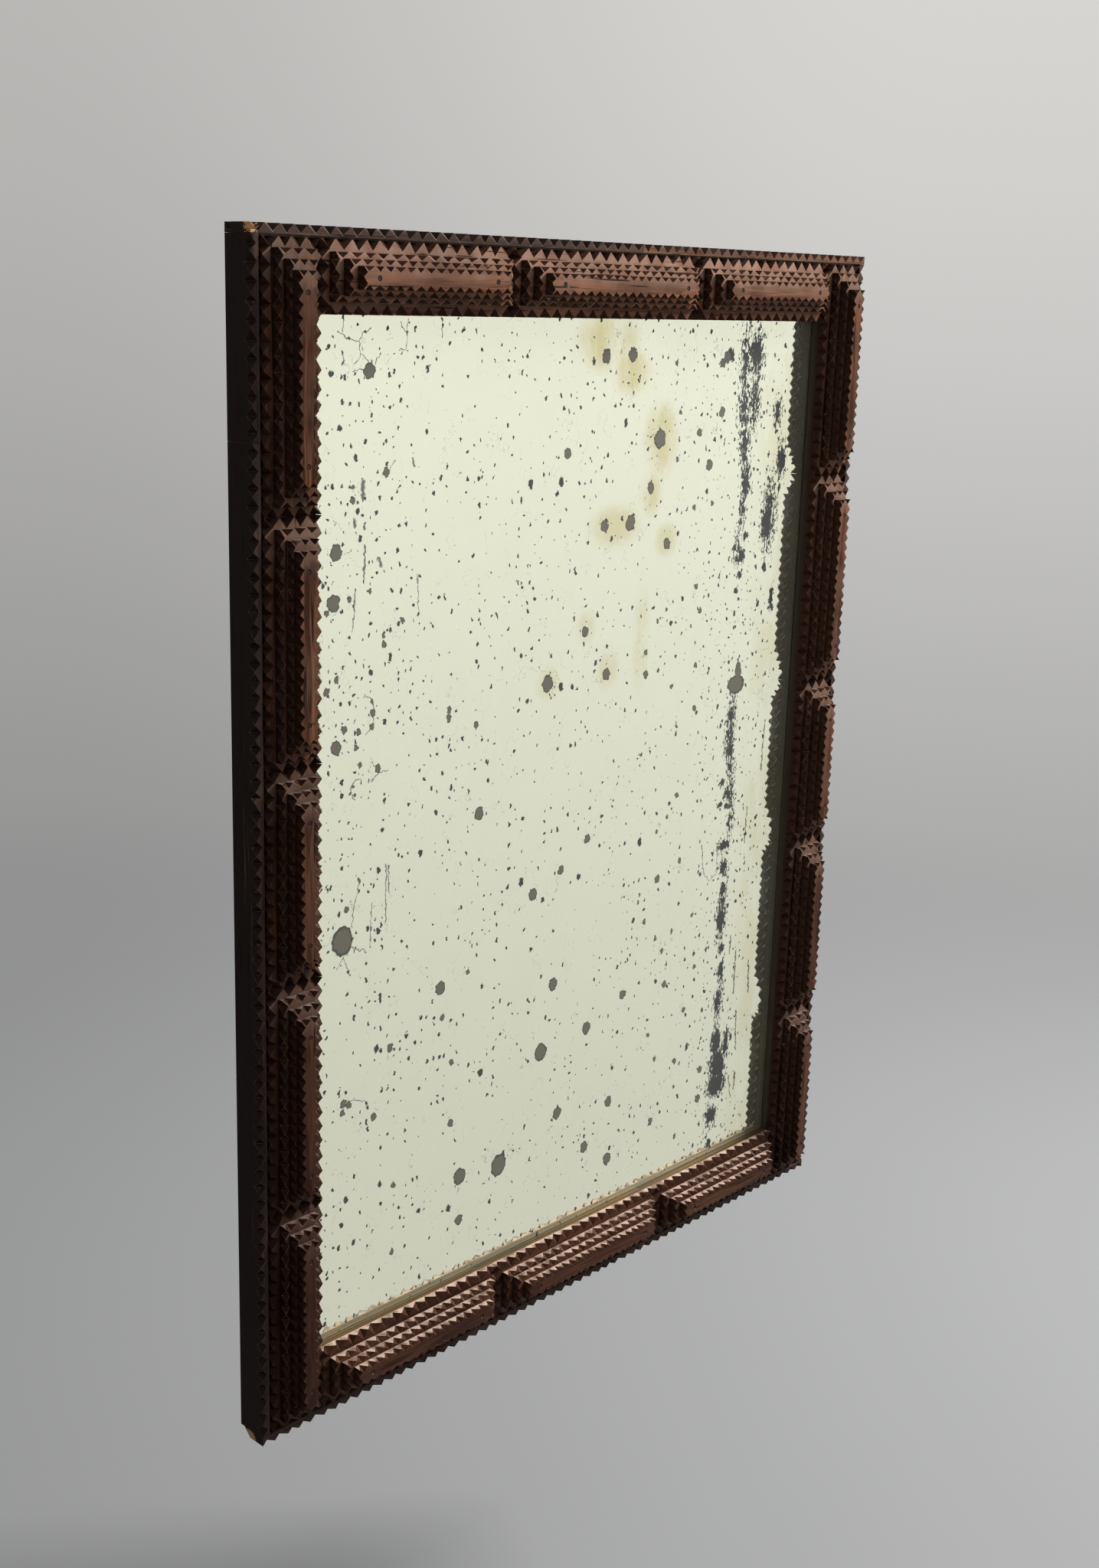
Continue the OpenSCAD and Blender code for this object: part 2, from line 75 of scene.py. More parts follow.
class NodeBench:
    """Lays out and links the shader nodes of one material, or of the world."""

    def __init__(self, owner: Union[bpy.types.Material, bpy.types.World]) -> None:
        """Clears the nodes of a material or world.

        Args:
            owner: The material or world.
        """
        owner.use_nodes = True
        self.owner = owner
        self.tree = owner.node_tree
        self.tree.nodes.clear()

    @classmethod
    def named(cls, name: str) -> "NodeBench":
        """Returns a bench for a new material."""
        return cls(bpy.data.materials.new(name))

    def add(self, kind: str, **settings: object) -> bpy.types.Node:
        """Adds a node and sets its properties.

        Args:
            kind: The node's type name.
            settings: Properties to set on it.

        Returns:
            The new node.
        """
        node = self.tree.nodes.new(kind)
        for key, setting in settings.items():
            setattr(node, key, setting)
        return node

    def feed(self, into: Socket, value: object) -> None:
        """Links a socket, or sets its value.

        Args:
            into: The input socket.
            value: A socket to link, a number, a colour or a vector.
        """
        if isinstance(value, bpy.types.NodeSocket):
            self.tree.links.new(value, into)
        elif isinstance(value, tuple) and len(value) == 3 and into.type == "RGBA":
            into.default_value = (*value, 1.0)
        else:
            into.default_value = value

    def wire(self, node: bpy.types.Node, values: dict[str, object]) -> bpy.types.Node:
        """Feeds several inputs of a node.

        Args:
            node: The node.
            values: What to feed, by the names of the inputs.

        Returns:
            The same node.
        """
        for name, value in values.items():
            self.feed(node.inputs[name], value)
        return node

    def place(self) -> Socket:
        """Returns the object coordinates."""
        return self.add("ShaderNodeTexCoord").outputs["Object"]

    def parts(self, vector: Socket) -> tuple[Socket, ...]:
        """Returns the three components of a vector."""
        return tuple(self.wire(self.add("ShaderNodeSeparateXYZ"), {"Vector": vector}).outputs)

    def axis(self, vector: Socket, name: str) -> Socket:
        """Returns one component, X, Y or Z, of a vector."""
        return self.parts(vector)["XYZ".index(name)]

    def joined(self, x: Value, y: Value, z: Value = 0.0) -> Socket:
        """Returns a vector of three numbers."""
        return self.wire(self.add("ShaderNodeCombineXYZ"), {"X": x, "Y": y, "Z": z}).outputs[0]

    def vectors(self, operation: str, a: object, b: object) -> bpy.types.Node:
        """Adds one operation on two vectors.

        Args:
            operation: The operation's name.
            a: The first vector.
            b: The second vector, or one number for all of its components.

        Returns:
            The new node, which gives a vector first and then a number, Value.
        """
        node = self.add("ShaderNodeVectorMath", operation=operation)
        self.feed(node.inputs[0], a)
        self.feed(node.inputs[1], b)
        return node

    def stretched(self, vector: Socket, scale: Triple, shift: Optional[Socket] = None) -> Socket:
        """Scales coordinates along the three axes.

        Args:
            vector: The coordinates.
            scale: The scale on each axis.
            shift: Something to add first, such as a number for each board.

        Returns:
            The scaled coordinates.
        """
        source = vector if shift is None else self.vectors("ADD", vector, shift).outputs[0]
        return self.vectors("MULTIPLY", source, scale).outputs[0]

    def cloud(self, vector: Socket, scale: float, detail: float, rough: float) -> bpy.types.Node:
        """Adds fractal noise at a scale in features to the metre."""
        values = {"Vector": vector, "Scale": scale, "Detail": detail, "Roughness": rough}
        return self.wire(self.add("ShaderNodeTexNoise"), values)

    def noise(self, vector: Socket, scale: float, detail: float = 2.0, rough: float = 0.5) -> Socket:
        """Returns fractal noise from 0 to 1 at a scale in features to the metre."""
        return self.cloud(vector, scale, detail, rough).outputs["Fac"]

    def cells(self, across: Socket, up: Socket, scale: float) -> bpy.types.Node:
        """Returns a flat Voronoi node at a scale in cells to the metre."""
        node = self.add("ShaderNodeTexVoronoi", voronoi_dimensions="2D", feature="F1")
        return self.wire(node, {"Vector": self.joined(across, up), "Scale": scale})

    def sums(self, operation: str, a: Value, b: Value = 0.0, clamp: bool = False) -> Socket:
        """Adds one arithmetic operation.

        Args:
            operation: The operation's name.
            a: The first number.
            b: The second number.
            clamp: Whether the result is kept from 0 to 1.

        Returns:
            The result.
        """
        node = self.add("ShaderNodeMath", operation=operation, use_clamp=clamp)
        self.feed(node.inputs[0], a)
        self.feed(node.inputs[1], b)
        return node.outputs[0]

    def times(self, a: Value, b: Value) -> Socket:
        """Returns the product of two numbers."""
        return self.sums("MULTIPLY", a, b)

    def fade(self, value: Value, low: float, high: float, start: float = 0.0, end: float = 1.0) -> Socket:
        """Adds a smooth step.

        Args:
            value: The number that is read.
            low: Where the step begins, which may be the larger number.
            high: Where it ends.
            start: The result at low.
            end: The result at high.

        Returns:
            The result.
        """
        node = self.add("ShaderNodeMapRange", interpolation_type="SMOOTHSTEP")
        steps = {"Value": value, "From Min": low, "From Max": high, "To Min": start, "To Max": end}
        return self.wire(node, steps).outputs["Result"]

    def mix(self, share: Value, a: Union[Colour, Socket], b: Union[Colour, Socket]) -> Socket:
        """Returns a blend of two colours.

        Args:
            share: How much of the second colour shows, from 0 to 1.
            a: The first colour.
            b: The second colour.

        Returns:
            The blended colour.
        """
        node = self.add("ShaderNodeMix", data_type="RGBA")
        self.feed(node.inputs[0], share)
        self.feed(node.inputs[6], a)
        self.feed(node.inputs[7], b)
        return node.outputs[2]

    def bump(self, height: Socket, depth: float, strength: float, under: Optional[Socket] = None) -> Socket:
        """Roughens a surface.

        Args:
            height: The relief, from 0 to 1.
            depth: Its depth in metres.
            strength: How strongly it shows.
            under: A normal that is already rough.

        Returns:
            The rough normal.
        """
        values = {"Strength": strength, "Distance": depth, "Height": height}
        if under is not None:
            values["Normal"] = under
        return self.wire(self.add("ShaderNodeBump"), values).outputs["Normal"]

    def shut_in(self, reach: float) -> Socket:
        """Returns how closely other surfaces stand round a point, from 0 to 1."""
        node = self.wire(self.add("ShaderNodeAmbientOcclusion", samples=6), {"Distance": reach})
        return self.sums("SUBTRACT", 1.0, node.outputs["AO"], clamp=True)

    def finish(self, **sockets: object) -> bpy.types.Material:
        """Adds the surface shader.

        Args:
            sockets: Values for its inputs, with underscores for the spaces in their names.

        Returns:
            The finished material.
        """
        values = {name.replace("_", " "): value for name, value in sockets.items()}
        shader = self.wire(self.add("ShaderNodeBsdfPrincipled"), values)
        self.wire(self.add("ShaderNodeOutputMaterial"), {"Surface": shader.outputs[0]})
        return self.owner


def toned(colour: Colour, tone: float) -> Colour:
    """Returns a colour made darker, or paler, by a factor."""
    return tuple(part * tone for part in colour)


@dataclass(frozen=True)
class Chip:
    """A place where a board has lost its varnish, in millimetres."""

    x: float
    y: float
    z: float
    r: float


@dataclass(frozen=True)
class StainedWood:
    """Box wood under a worn, dark reddish varnish."""

    name: str
    grain: Grain
    tone: float = 1.0
    face: Colour = (0.200, 0.084, 0.043)
    face_dark: Colour = (0.050, 0.019, 0.010)
    faded: Colour = (0.125, 0.060, 0.037)
    cut: Colour = (0.130, 0.057, 0.033)
    # Dark of smoke, cracks and soiling, also laid as painted shade in the hollows.
    grime_and_shade: Colour = (0.006, 0.004, 0.003)
    # Colour of the painted shade lower down.
    shade_low: Colour = (0.012, 0.003, 0.002)
    worn: Colour = (0.36, 0.195, 0.115)
    # Pale of the upward ledges: a dusting with painted sheen.
    dust_and_sheen: Colour = (0.46, 0.34, 0.275)
    raw: Colour = (0.50, 0.27, 0.12)
    # Grey of the blocks' upper ends: a dusting with painted sheen.
    dust_and_sheen_grey: Colour = (0.235, 0.142, 0.102)
    # How strong the dusting and painted sheen on the ledges are.
    dust_and_sheen_share: float = 0.75
    # How strong the painted shade lower down is.
    shade_low_depth: float = 0.42
    chips: tuple[Chip, ...] = ()
    tops: tuple[float, ...] = ()
    grey_reach: float = 34.0 * MM
    grey_full: float = 12.0 * MM
    # Where the painted shade lower down begins and where it is full.
    shade_low_top: float = 180.0 * MM
    shade_low_full: float = -280.0 * MM
    # Reach of the painted shade in the hollows.
    hollow: float = 5.0 * MM

    def bare(self, bench: NodeBench, place: Socket) -> Socket:
        """Finds the chips that show raw wood.

        Args:
            bench: The material's bench.
            place: Object coordinates.

        Returns:
            A mask.
        """
        inside: Value = 0.0
        for chip in self.chips:
            gap = bench.vectors("DISTANCE", place, (chip.x * MM, chip.y * MM, chip.z * MM))
            ragged = bench.fade(bench.noise(place, 700.0, 3.0), 0.3, 0.7, -1.2 * MM, 1.2 * MM)
            reach = bench.sums("ADD", gap.outputs["Value"], ragged)
            inside = bench.sums("MAXIMUM", inside, bench.fade(reach, chip.r * MM, (chip.r - 0.8) * MM))
        return inside

    def end_dust_and_sheen(self, bench: NodeBench, place: Socket) -> Socket:
        """Finds the blocks' upper ends, grey with wear and a dusting and with a painted sheen.

        Args:
            bench: The material's bench.
            place: Object coordinates.

        Returns:
            A mask.
        """
        height = bench.axis(place, "Z")
        near: Value = 0.0
        for top in self.tops:
            below = bench.sums("SUBTRACT", top * MM, height)
            band = bench.fade(below, self.grey_reach, self.grey_full)
            band = bench.times(band, bench.sums("GREATER_THAN", below, 0.0))
            near = bench.sums("MAXIMUM", near, band)
        return near

    def plank(self, bench: NodeBench, place: Socket, island: Socket, figure: Socket) -> Socket:
        """Colours the faces of the boards.

        Args:
            bench: The material's bench.
            place: Object coordinates.
            island: A number for each board.
            figure: The figure of the grain.

        Returns:
            The colour.
        """
        dark = toned(self.face_dark, self.tone)
        colour = bench.mix(bench.fade(figure, 0.40, 0.60), dark, toned(self.face, self.tone))
        cloud = bench.fade(bench.noise(place, 28.0, 3.0), 0.45, 0.65, 0.0, 0.75)
        colour = bench.mix(cloud, colour, toned(self.faded, self.tone))
        colour = bench.mix(bench.fade(island, 0.0, 1.0, 0.0, 0.35), colour, dark)
        # Greyer near the blocks' upper ends: wear and a dusting with a painted sheen.
        if self.tops:
            patchy = bench.fade(bench.noise(place, 70.0, 3.0), 0.35, 0.65, 0.45, 0.95)
            ends = bench.times(self.end_dust_and_sheen(bench, place), patchy)
            colour = bench.mix(ends, colour, toned(self.dust_and_sheen_grey, self.tone))
        return colour

    def cracked(self, bench: NodeBench, place: Socket, along: Socket, colour: Socket) -> Socket:
        """Lays clouds of smoke and dark cracks over a colour.

        Args:
            bench: The material's bench.
            place: Object coordinates.
            along: Coordinates stretched along the grain.
            colour: The colour under them.

        Returns:
            The darkened colour.
        """
        smoke = bench.fade(bench.noise(place, 11.0, 4.0, 0.6), 0.5, 0.75, 0.0, 0.4)
        colour = bench.mix(smoke, colour, self.grime_and_shade)
        cracks = bench.fade(bench.noise(along, 420.0, 2.0), 0.36, 0.31, 0.0, 0.85)
        return bench.mix(cracks, colour, self.grime_and_shade)

    def dirtied_and_shaded(self, bench: NodeBench, place: Socket, normal: Socket, colour: Socket) -> Socket:
        """Lays painted shade lower down, soiling with painted shade in the hollows, and a dusting with painted sheen
        on the ledges over a colour.

        Args:
            bench: The material's bench.
            place: Object coordinates.
            normal: The true normal.
            colour: The colour under them.

        Returns:
            The dirty colour.
        """
        # Darker towards the bottom: painted shade for the light that falls off lower down.
        low = bench.fade(bench.axis(place, "Z"), self.shade_low_top, self.shade_low_full, 0.0, self.shade_low_depth)
        colour = bench.mix(low, colour, self.shade_low)
        # Darker in the hollows, where the occlusion node finds close surfaces: painted shade with some soiling.
        dirt_and_shade = bench.fade(bench.shut_in(self.hollow), 0.40, 0.85, 0.0, 0.88)
        colour = bench.mix(dirt_and_shade, colour, self.grime_and_shade)
        # Paler on the upward ledges: a dusting with a painted sheen of the lamp on it.
        ledge = bench.fade(bench.axis(normal, "Z"), 0.78, 0.92, 0.0, self.dust_and_sheen_share)
        patchy = bench.fade(bench.noise(place, 150.0, 3.0), 0.35, 0.6, 0.3, 1.0)
        return bench.mix(bench.times(ledge, patchy), colour, self.dust_and_sheen)

    def material(self) -> bpy.types.Material:
        """Makes the finish.

        Returns:
            The material.
        """
        bench = NodeBench.named(self.name)
        place = bench.place()
        geometry = bench.add("ShaderNodeNewGeometry")
        island = geometry.outputs["Random Per Island"]
        normal = geometry.outputs["True Normal"]
        along = bench.stretched(place, self.grain.value, bench.times(island, 3.0))
        fibre = bench.noise(along, 1100.0, 3.0)
        streak = bench.noise(along, 170.0, 4.0, 0.6)
        figure = bench.sums("ADD", bench.times(streak, 0.66), bench.times(fibre, 0.34))
        facing = bench.fade(bench.times(bench.axis(normal, "Y"), -1.0), 0.9, 0.99)
        fibres = bench.fade(fibre, 0.3, 0.7, 0.1, 0.8)
        cut = bench.mix(fibres, toned(self.cut, self.tone), toned(self.face_dark, self.tone))
        colour = bench.mix(facing, cut, self.plank(bench, place, island, figure))
        colour = self.cracked(bench, place, along, colour)
        rubbed = bench.fade(bench.noise(along, 95.0, 5.0, 0.7), 0.62, 0.72, 0.0, 0.5)
        colour = bench.mix(rubbed, colour, toned(self.worn, self.tone))
        colour = self.dirtied_and_shaded(bench, place, normal, colour)
        if self.chips:
            colour = bench.mix(self.bare(bench, place), colour, self.raw)
        rough = bench.fade(bench.noise(place, 90.0, 3.0), 0.3, 0.7, 0.24, 0.42)
        rough = bench.sums("ADD", rough, bench.times(rubbed, 0.3))
        bumpy = bench.bump(streak, 0.35 * MM, 0.4, bench.bump(fibre, 0.10 * MM, 0.5))
        return bench.finish(Base_Color=colour, Roughness=rough, Normal=bumpy, Specular_IOR_Level=0.04)


@dataclass(frozen=True)
class WornArris:
    """Edges of the stained boards, rubbed thin of varnish."""

    name: str
    tone: float = 1.0
    pale: Colour = (0.30, 0.160, 0.098)
    dark: Colour = (0.075, 0.033, 0.020)

    def material(self) -> bpy.types.Material:
        """Makes the finish.

        Returns:
            The material.
        """
        bench = NodeBench.named(self.name)
        patch = bench.noise(bench.place(), 160.0, 3.0)
        share = bench.fade(patch, 0.46, 0.66)
        return bench.finish(
            Base_Color=bench.mix(share, toned(self.dark, self.tone), toned(self.pale, self.tone)),
            Roughness=bench.fade(patch, 0.3, 0.7, 0.24, 0.4),
            Normal=bench.bump(patch, 0.05 * MM, 0.4),
            Specular_IOR_Level=0.1,
        )


@dataclass(frozen=True)
class BareWood:
    """Unstained softwood, aged, with growth rings along its grain."""

    name: str
    grain: Grain
    pale: Colour = (0.42, 0.28, 0.15)
    dark: Colour = (0.22, 0.125, 0.06)
    # Dark of stains, joints and soiling, also laid as painted shade in the hollows.
    grime_and_shade: Colour = (0.06, 0.042, 0.03)
    rings: float = 55.0
    gloss: float = 0.62
    shine: float = 0.4
    joints: tuple[tuple[str, float], ...] = ()
    # Reach of the painted shade in the hollows.
    hollow: float = 8.0 * MM
    ring_stretch: float = 1.6
    ring_waves: float = 75.0

    def figure(self, bench: NodeBench, place: Socket, board: Socket, fibre: Socket) -> Socket:
        """Draws growth rings and fibres.

        Args:
            bench: The material's bench.
            place: Object coordinates.
            board: A number for each board.
            fibre: The fibres.

        Returns:
            The figure of the wood.
        """
        scale = tuple(part ** self.ring_stretch for part in self.grain.value)
        ring = bench.noise(bench.stretched(place, scale, board), self.rings, 2.0, 0.4)
        waves = bench.sums("SINE", bench.times(ring, self.ring_waves))
        return bench.sums("ADD", bench.times(waves, 0.16), bench.times(fibre, 0.7))

    def material(self) -> bpy.types.Material:
        """Makes the finish.

        Returns:
            The material.
        """
        bench = NodeBench.named(self.name)
        place = bench.place()
        board = bench.times(bench.add("ShaderNodeObjectInfo").outputs["Random"], 5.0)
        fibre = bench.noise(bench.stretched(place, self.grain.value, board), 900.0, 3.0)
        figure = self.figure(bench, place, board, fibre)
        colour = bench.mix(bench.fade(figure, 0.05, 0.68), self.dark, self.pale)
        stain = bench.fade(bench.noise(place, 9.0, 4.0, 0.6), 0.5, 0.8, 0.0, 0.55)
        colour = bench.mix(stain, colour, self.grime_and_shade)
        # Darker in the hollows, where the occlusion node finds close surfaces: painted shade with some soiling.
        dirt_and_shade = bench.fade(bench.shut_in(self.hollow), 0.4, 0.95, 0.0, 0.7)
        colour = bench.mix(dirt_and_shade, colour, self.grime_and_shade)
        for axis, joint in self.joints:
            off = bench.sums("ABSOLUTE", bench.sums("SUBTRACT", bench.axis(place, axis), joint * MM))
            colour = bench.mix(bench.fade(off, 0.8 * MM, 0.3 * MM), colour, self.grime_and_shade)
        rough = bench.fade(fibre, 0.3, 0.7, self.gloss - 0.1, self.gloss + 0.1)
        normal = bench.bump(figure, 0.15 * MM, 0.5)
        return bench.finish(Base_Color=colour, Roughness=rough, Normal=normal, Specular_IOR_Level=self.shine)


@dataclass(frozen=True)
class OldIron:
    """Dull iron or plated steel with a bloom of rust."""

    name: str
    metal: Colour
    rust: Colour = (0.12, 0.055, 0.03)
    rusted: float = 0.35

    def material(self) -> bpy.types.Material:
        """Makes the finish.

        Returns:
            The material.
        """
        bench = NodeBench.named(self.name)
        place = bench.place()
        bloom = bench.noise(place, 420.0, 5.0, 0.65)
        edge = 0.62 - 0.3 * self.rusted
        rusty = bench.fade(bloom, edge, edge + 0.16)
        scuff = bench.fade(bench.noise(place, 1800.0, 2.0), 0.3, 0.7, 0.3, 0.45)
        return bench.finish(
            Base_Color=bench.mix(rusty, self.metal, self.rust),
            Metallic=bench.sums("SUBTRACT", 1.0, rusty),
            Roughness=bench.sums("ADD", scuff, bench.times(rusty, 0.35)),
            Normal=bench.bump(bloom, 0.06 * MM, 0.5),
            Specular_IOR_Level=0.1,
        )


@dataclass(frozen=True)
class Flake:
    """One patch where the silvering is marked, in millimetres: its middle, half width and half height."""

    x: float
    z: float
    half_w: float
    half_h: float


@dataclass(frozen=True)
class Spot:
    """One spot where the silvering has gone, a little taller than wide, in millimetres from the middle."""

    x: float
    z: float
    half_w: float

    @property
    def half_h(self) -> float:
        """Returns half its height."""
        return self.half_w * 1.12


@dataclass(frozen=True)
class Line:
    """One hairline through the silvering, in millimetres: its corners and half its width."""

    corners: tuple[tuple[float, float], ...]
    half_w: float = 0.28


@dataclass(frozen=True)
class Specks:
    """One size of specks: cells to the metre, share of them that hold a speck, and its size in its cell."""

    scale: float
    share: float
    size: float
    crowding: float = 1.0


@dataclass(frozen=True)
class FoxedSilver:
    """Old silvering with specks, spots, a peeled streak, fine cracks and yellow stains.

    A shader can't hold a branch for each mark at once, so the marks are looked up one after another and what has been
    found is carried in place of the point's depth.
    """

    name: str
    silver: Colour = (0.93, 0.94, 0.76)
    dulled: Colour = (0.7, 0.69, 0.55)
    bare: Colour = (0.092, 0.078, 0.050)
    rim: Colour = (0.010, 0.010, 0.007)
    stain: Colour = (0.74, 0.66, 0.34)
    spots: tuple[Union[Spot, Flake], ...] = (
        Flake(163, 56, 10.0, 7.0), Flake(164.5, 66, 3.8, 7.0), Spot(-203, -51, 8.6), Spot(-208, 179, 4.6),
        Spot(-210, 151, 4.9), Spot(-208, 67, 4.2), Spot(-184, 278, 4.4), Spot(67, 232, 6.0),
        Spot(12, 285, 4.2), Spot(37, 286, 4.4), Spot(-21, 226, 3.4), Spot(41, 179, 5.0), Spot(16, 179, 3.8),
        Spot(60, 201, 3.6), Spot(79, 163, 3.6), Spot(-33, 82, 5.4), Spot(23, 81, 4.0), Spot(1, 112, 3.4),
        Spot(-92, 7, 4.2), Spot(-41, -57, 3.8), Spot(-15, -46, 3.0), Spot(10, -29, 3.2),
        Spot(-123, -101, 4.2), Spot(-19, -125, 4.2), Spot(-29, -171, 6.0), Spot(16, -166, 4.2),
        Spot(-67, -241, 7.4), Spot(-103, -237, 5.6), Spot(-11, -221, 4.2), Spot(42, -229, 3.8),
        Spot(18, -256, 4.0), Spot(43, -273, 4.2), Spot(-103, -268, 3.6), Spot(53, -151, 3.4),
        Spot(129, 280, 3.2), Spot(134, 284, 4.0), Spot(131, 248, 3.4), Spot(120, 213, 3.6),
        Spot(108, 235, 2.8), Spot(-171, 222, 2.6), Spot(-183, 155, 1.7), Spot(-158, 136, 2.0),
        Spot(-196, 215, 1.5), Spot(-196, 207, 1.7), Spot(-198, 152, 1.7), Spot(-215, 146, 1.8),
        Spot(-172, 128, 1.6), Spot(-172, 123, 2.1), Spot(-202, 77, 2.4), Spot(-181, 91, 1.6),
        Spot(-180, 84, 2.0), Spot(-181, 76, 1.9), Spot(-191, 74, 2.1), Spot(-193, 65, 1.9),
        Spot(-190, 54, 1.6), Spot(-176, 50, 2.6), Spot(-195, 42, 1.2), Spot(-197, 38, 1.2),
        Spot(-194, 37, 1.2), Spot(-215, 101, 2.4), Spot(-208, 107, 2.1), Spot(-119, 77, 2.1),
        Spot(-119, 72, 2.3), Spot(-96, 64, 2.2), Spot(-200, -32, 2.2), Spot(-190, -16, 1.6),
        Spot(-202, -155, 2.6), Spot(-198, -157, 2.2), Spot(-203, -161, 1.9), Spot(-178, -171, 2.5),
        Spot(-165, -129, 2.8), Spot(-121, -121, 2.2), Spot(-112, -154, 2.2), Spot(-112, -196, 2.8),
        Spot(-161, -223, 2.0), Spot(-162, -269, 2.1), Spot(-99, -96, 1.8), Spot(112, 131, 2.0),
        Spot(82, 118, 1.8), Spot(118, 114, 2.1), Spot(157, 98, 1.6), Spot(116, 76, 2.0), Spot(117, 45, 2.2),
        Spot(63, 76, 2.6), Spot(62, 91, 2.2), Spot(87, 249, 1.6), Spot(81, 281, 1.8), Spot(106, 185, 2.1),
        Spot(125, 187, 1.8), Spot(86, 218, 1.6), Spot(96, 301, 1.4), Spot(73, 111, 1.5), Spot(91, 64, 1.5),
        Spot(85, -73, 2.7), Spot(98, 35, 1.5), Spot(102, -15, 2.1), Spot(93, -29, 1.5), Spot(82, -38, 1.5),
        Spot(109, -65, 1.6), Spot(126, -109, 1.8), Spot(86, -117, 2.0), Spot(104, -116, 1.6),
        Spot(94, -129, 1.8), Spot(132, -150, 1.9), Spot(98, -155, 2.6), Spot(73, -102, 2.3),
        Spot(122, -181, 2.1), Spot(83, -190, 1.9), Spot(114, -219, 2.3), Spot(91, -211, 2.0),
        Spot(115, -239, 1.6), Spot(90, -259, 2.8), Spot(119, -281, 1.6), Spot(145, -235, 2.6),
        Spot(144, -258, 3.0),
    )
    flakes: tuple[Flake, ...] = (
        Flake(167, 284, 8.0, 20.0), Flake(154, 280, 6.0, 26.0), Flake(155, 250, 7.5, 20.0),
        Flake(166, 254, 7.0, 22.0), Flake(158, 226, 7.0, 14.0), Flake(161, 203, 6.0, 14.0),
        Flake(159, 180, 4.0, 12.0), Flake(200, 213, 5.5, 14.0), Flake(190, 176, 8.5, 28.0),
        Flake(193, 246, 5.0, 12.0), Flake(160, 7, 3.6, 6.5), Flake(162, -24, 6.5, 8.5),
        Flake(158, -64, 8.0, 5.0), Flake(161, -79, 5.5, 7.0), Flake(161, -121, 6.5, 14.0),
        Flake(162, -186, 5.5, 11.0), Flake(176, -223, 3.0, 13.0), Flake(162, -278, 6.5, 10.0),
    )
    patches: tuple[Flake, ...] = (
        Flake(165, 287, 7.7, 10.8), Flake(201, 213, 5.2, 9.7), Flake(161, 198, 5.0, 11.3),
        Flake(161, 148, 3.6, 6.0), Flake(160, 135, 3.2, 2.7), Flake(159, 216, 2.8, 2.6),
        Flake(158, 234, 2.5, 2.1), Flake(164, 162, 2.9, 3.1), Flake(156, 124, 2.9, 2.2),
        Flake(137, 285, 4.1, 4.5), Flake(188, 138, 2.2, 4.5), Flake(198, 115, 2.3, 9.2),
        Flake(200, 193, 2.2, 2.2), Flake(188, 169, 7.4, 14.3), Flake(163, -217, 6.2, 10.9),
        Flake(166, -237, 10.1, 15.7), Flake(166, -253, 11.7, 10.0), Flake(175, -221, 3.5, 10.9),
        Flake(160, 8, 3.3, 6.6), Flake(153, -15, 3.3, 2.6), Flake(159, -24, 3.0, 2.9),
        Flake(152, -31, 2.9, 2.4), Flake(159, -33, 3.0, 2.4), Flake(160, -62, 6.7, 2.9),
        Flake(160, -81, 3.7, 6.1), Flake(161, -97, 3.4, 6.1), Flake(160, -121, 5.3, 11.2),
        Flake(163, -143, 3.4, 5.0), Flake(164, -160, 3.8, 7.6), Flake(162, -185, 3.1, 9.2),
        Flake(161, -277, 7.0, 7.4), Flake(160, -299, 3.1, 3.7), Flake(159, 34, 3.3, 3.2),
        Flake(155, 30, 2.2, 1.4),
    )
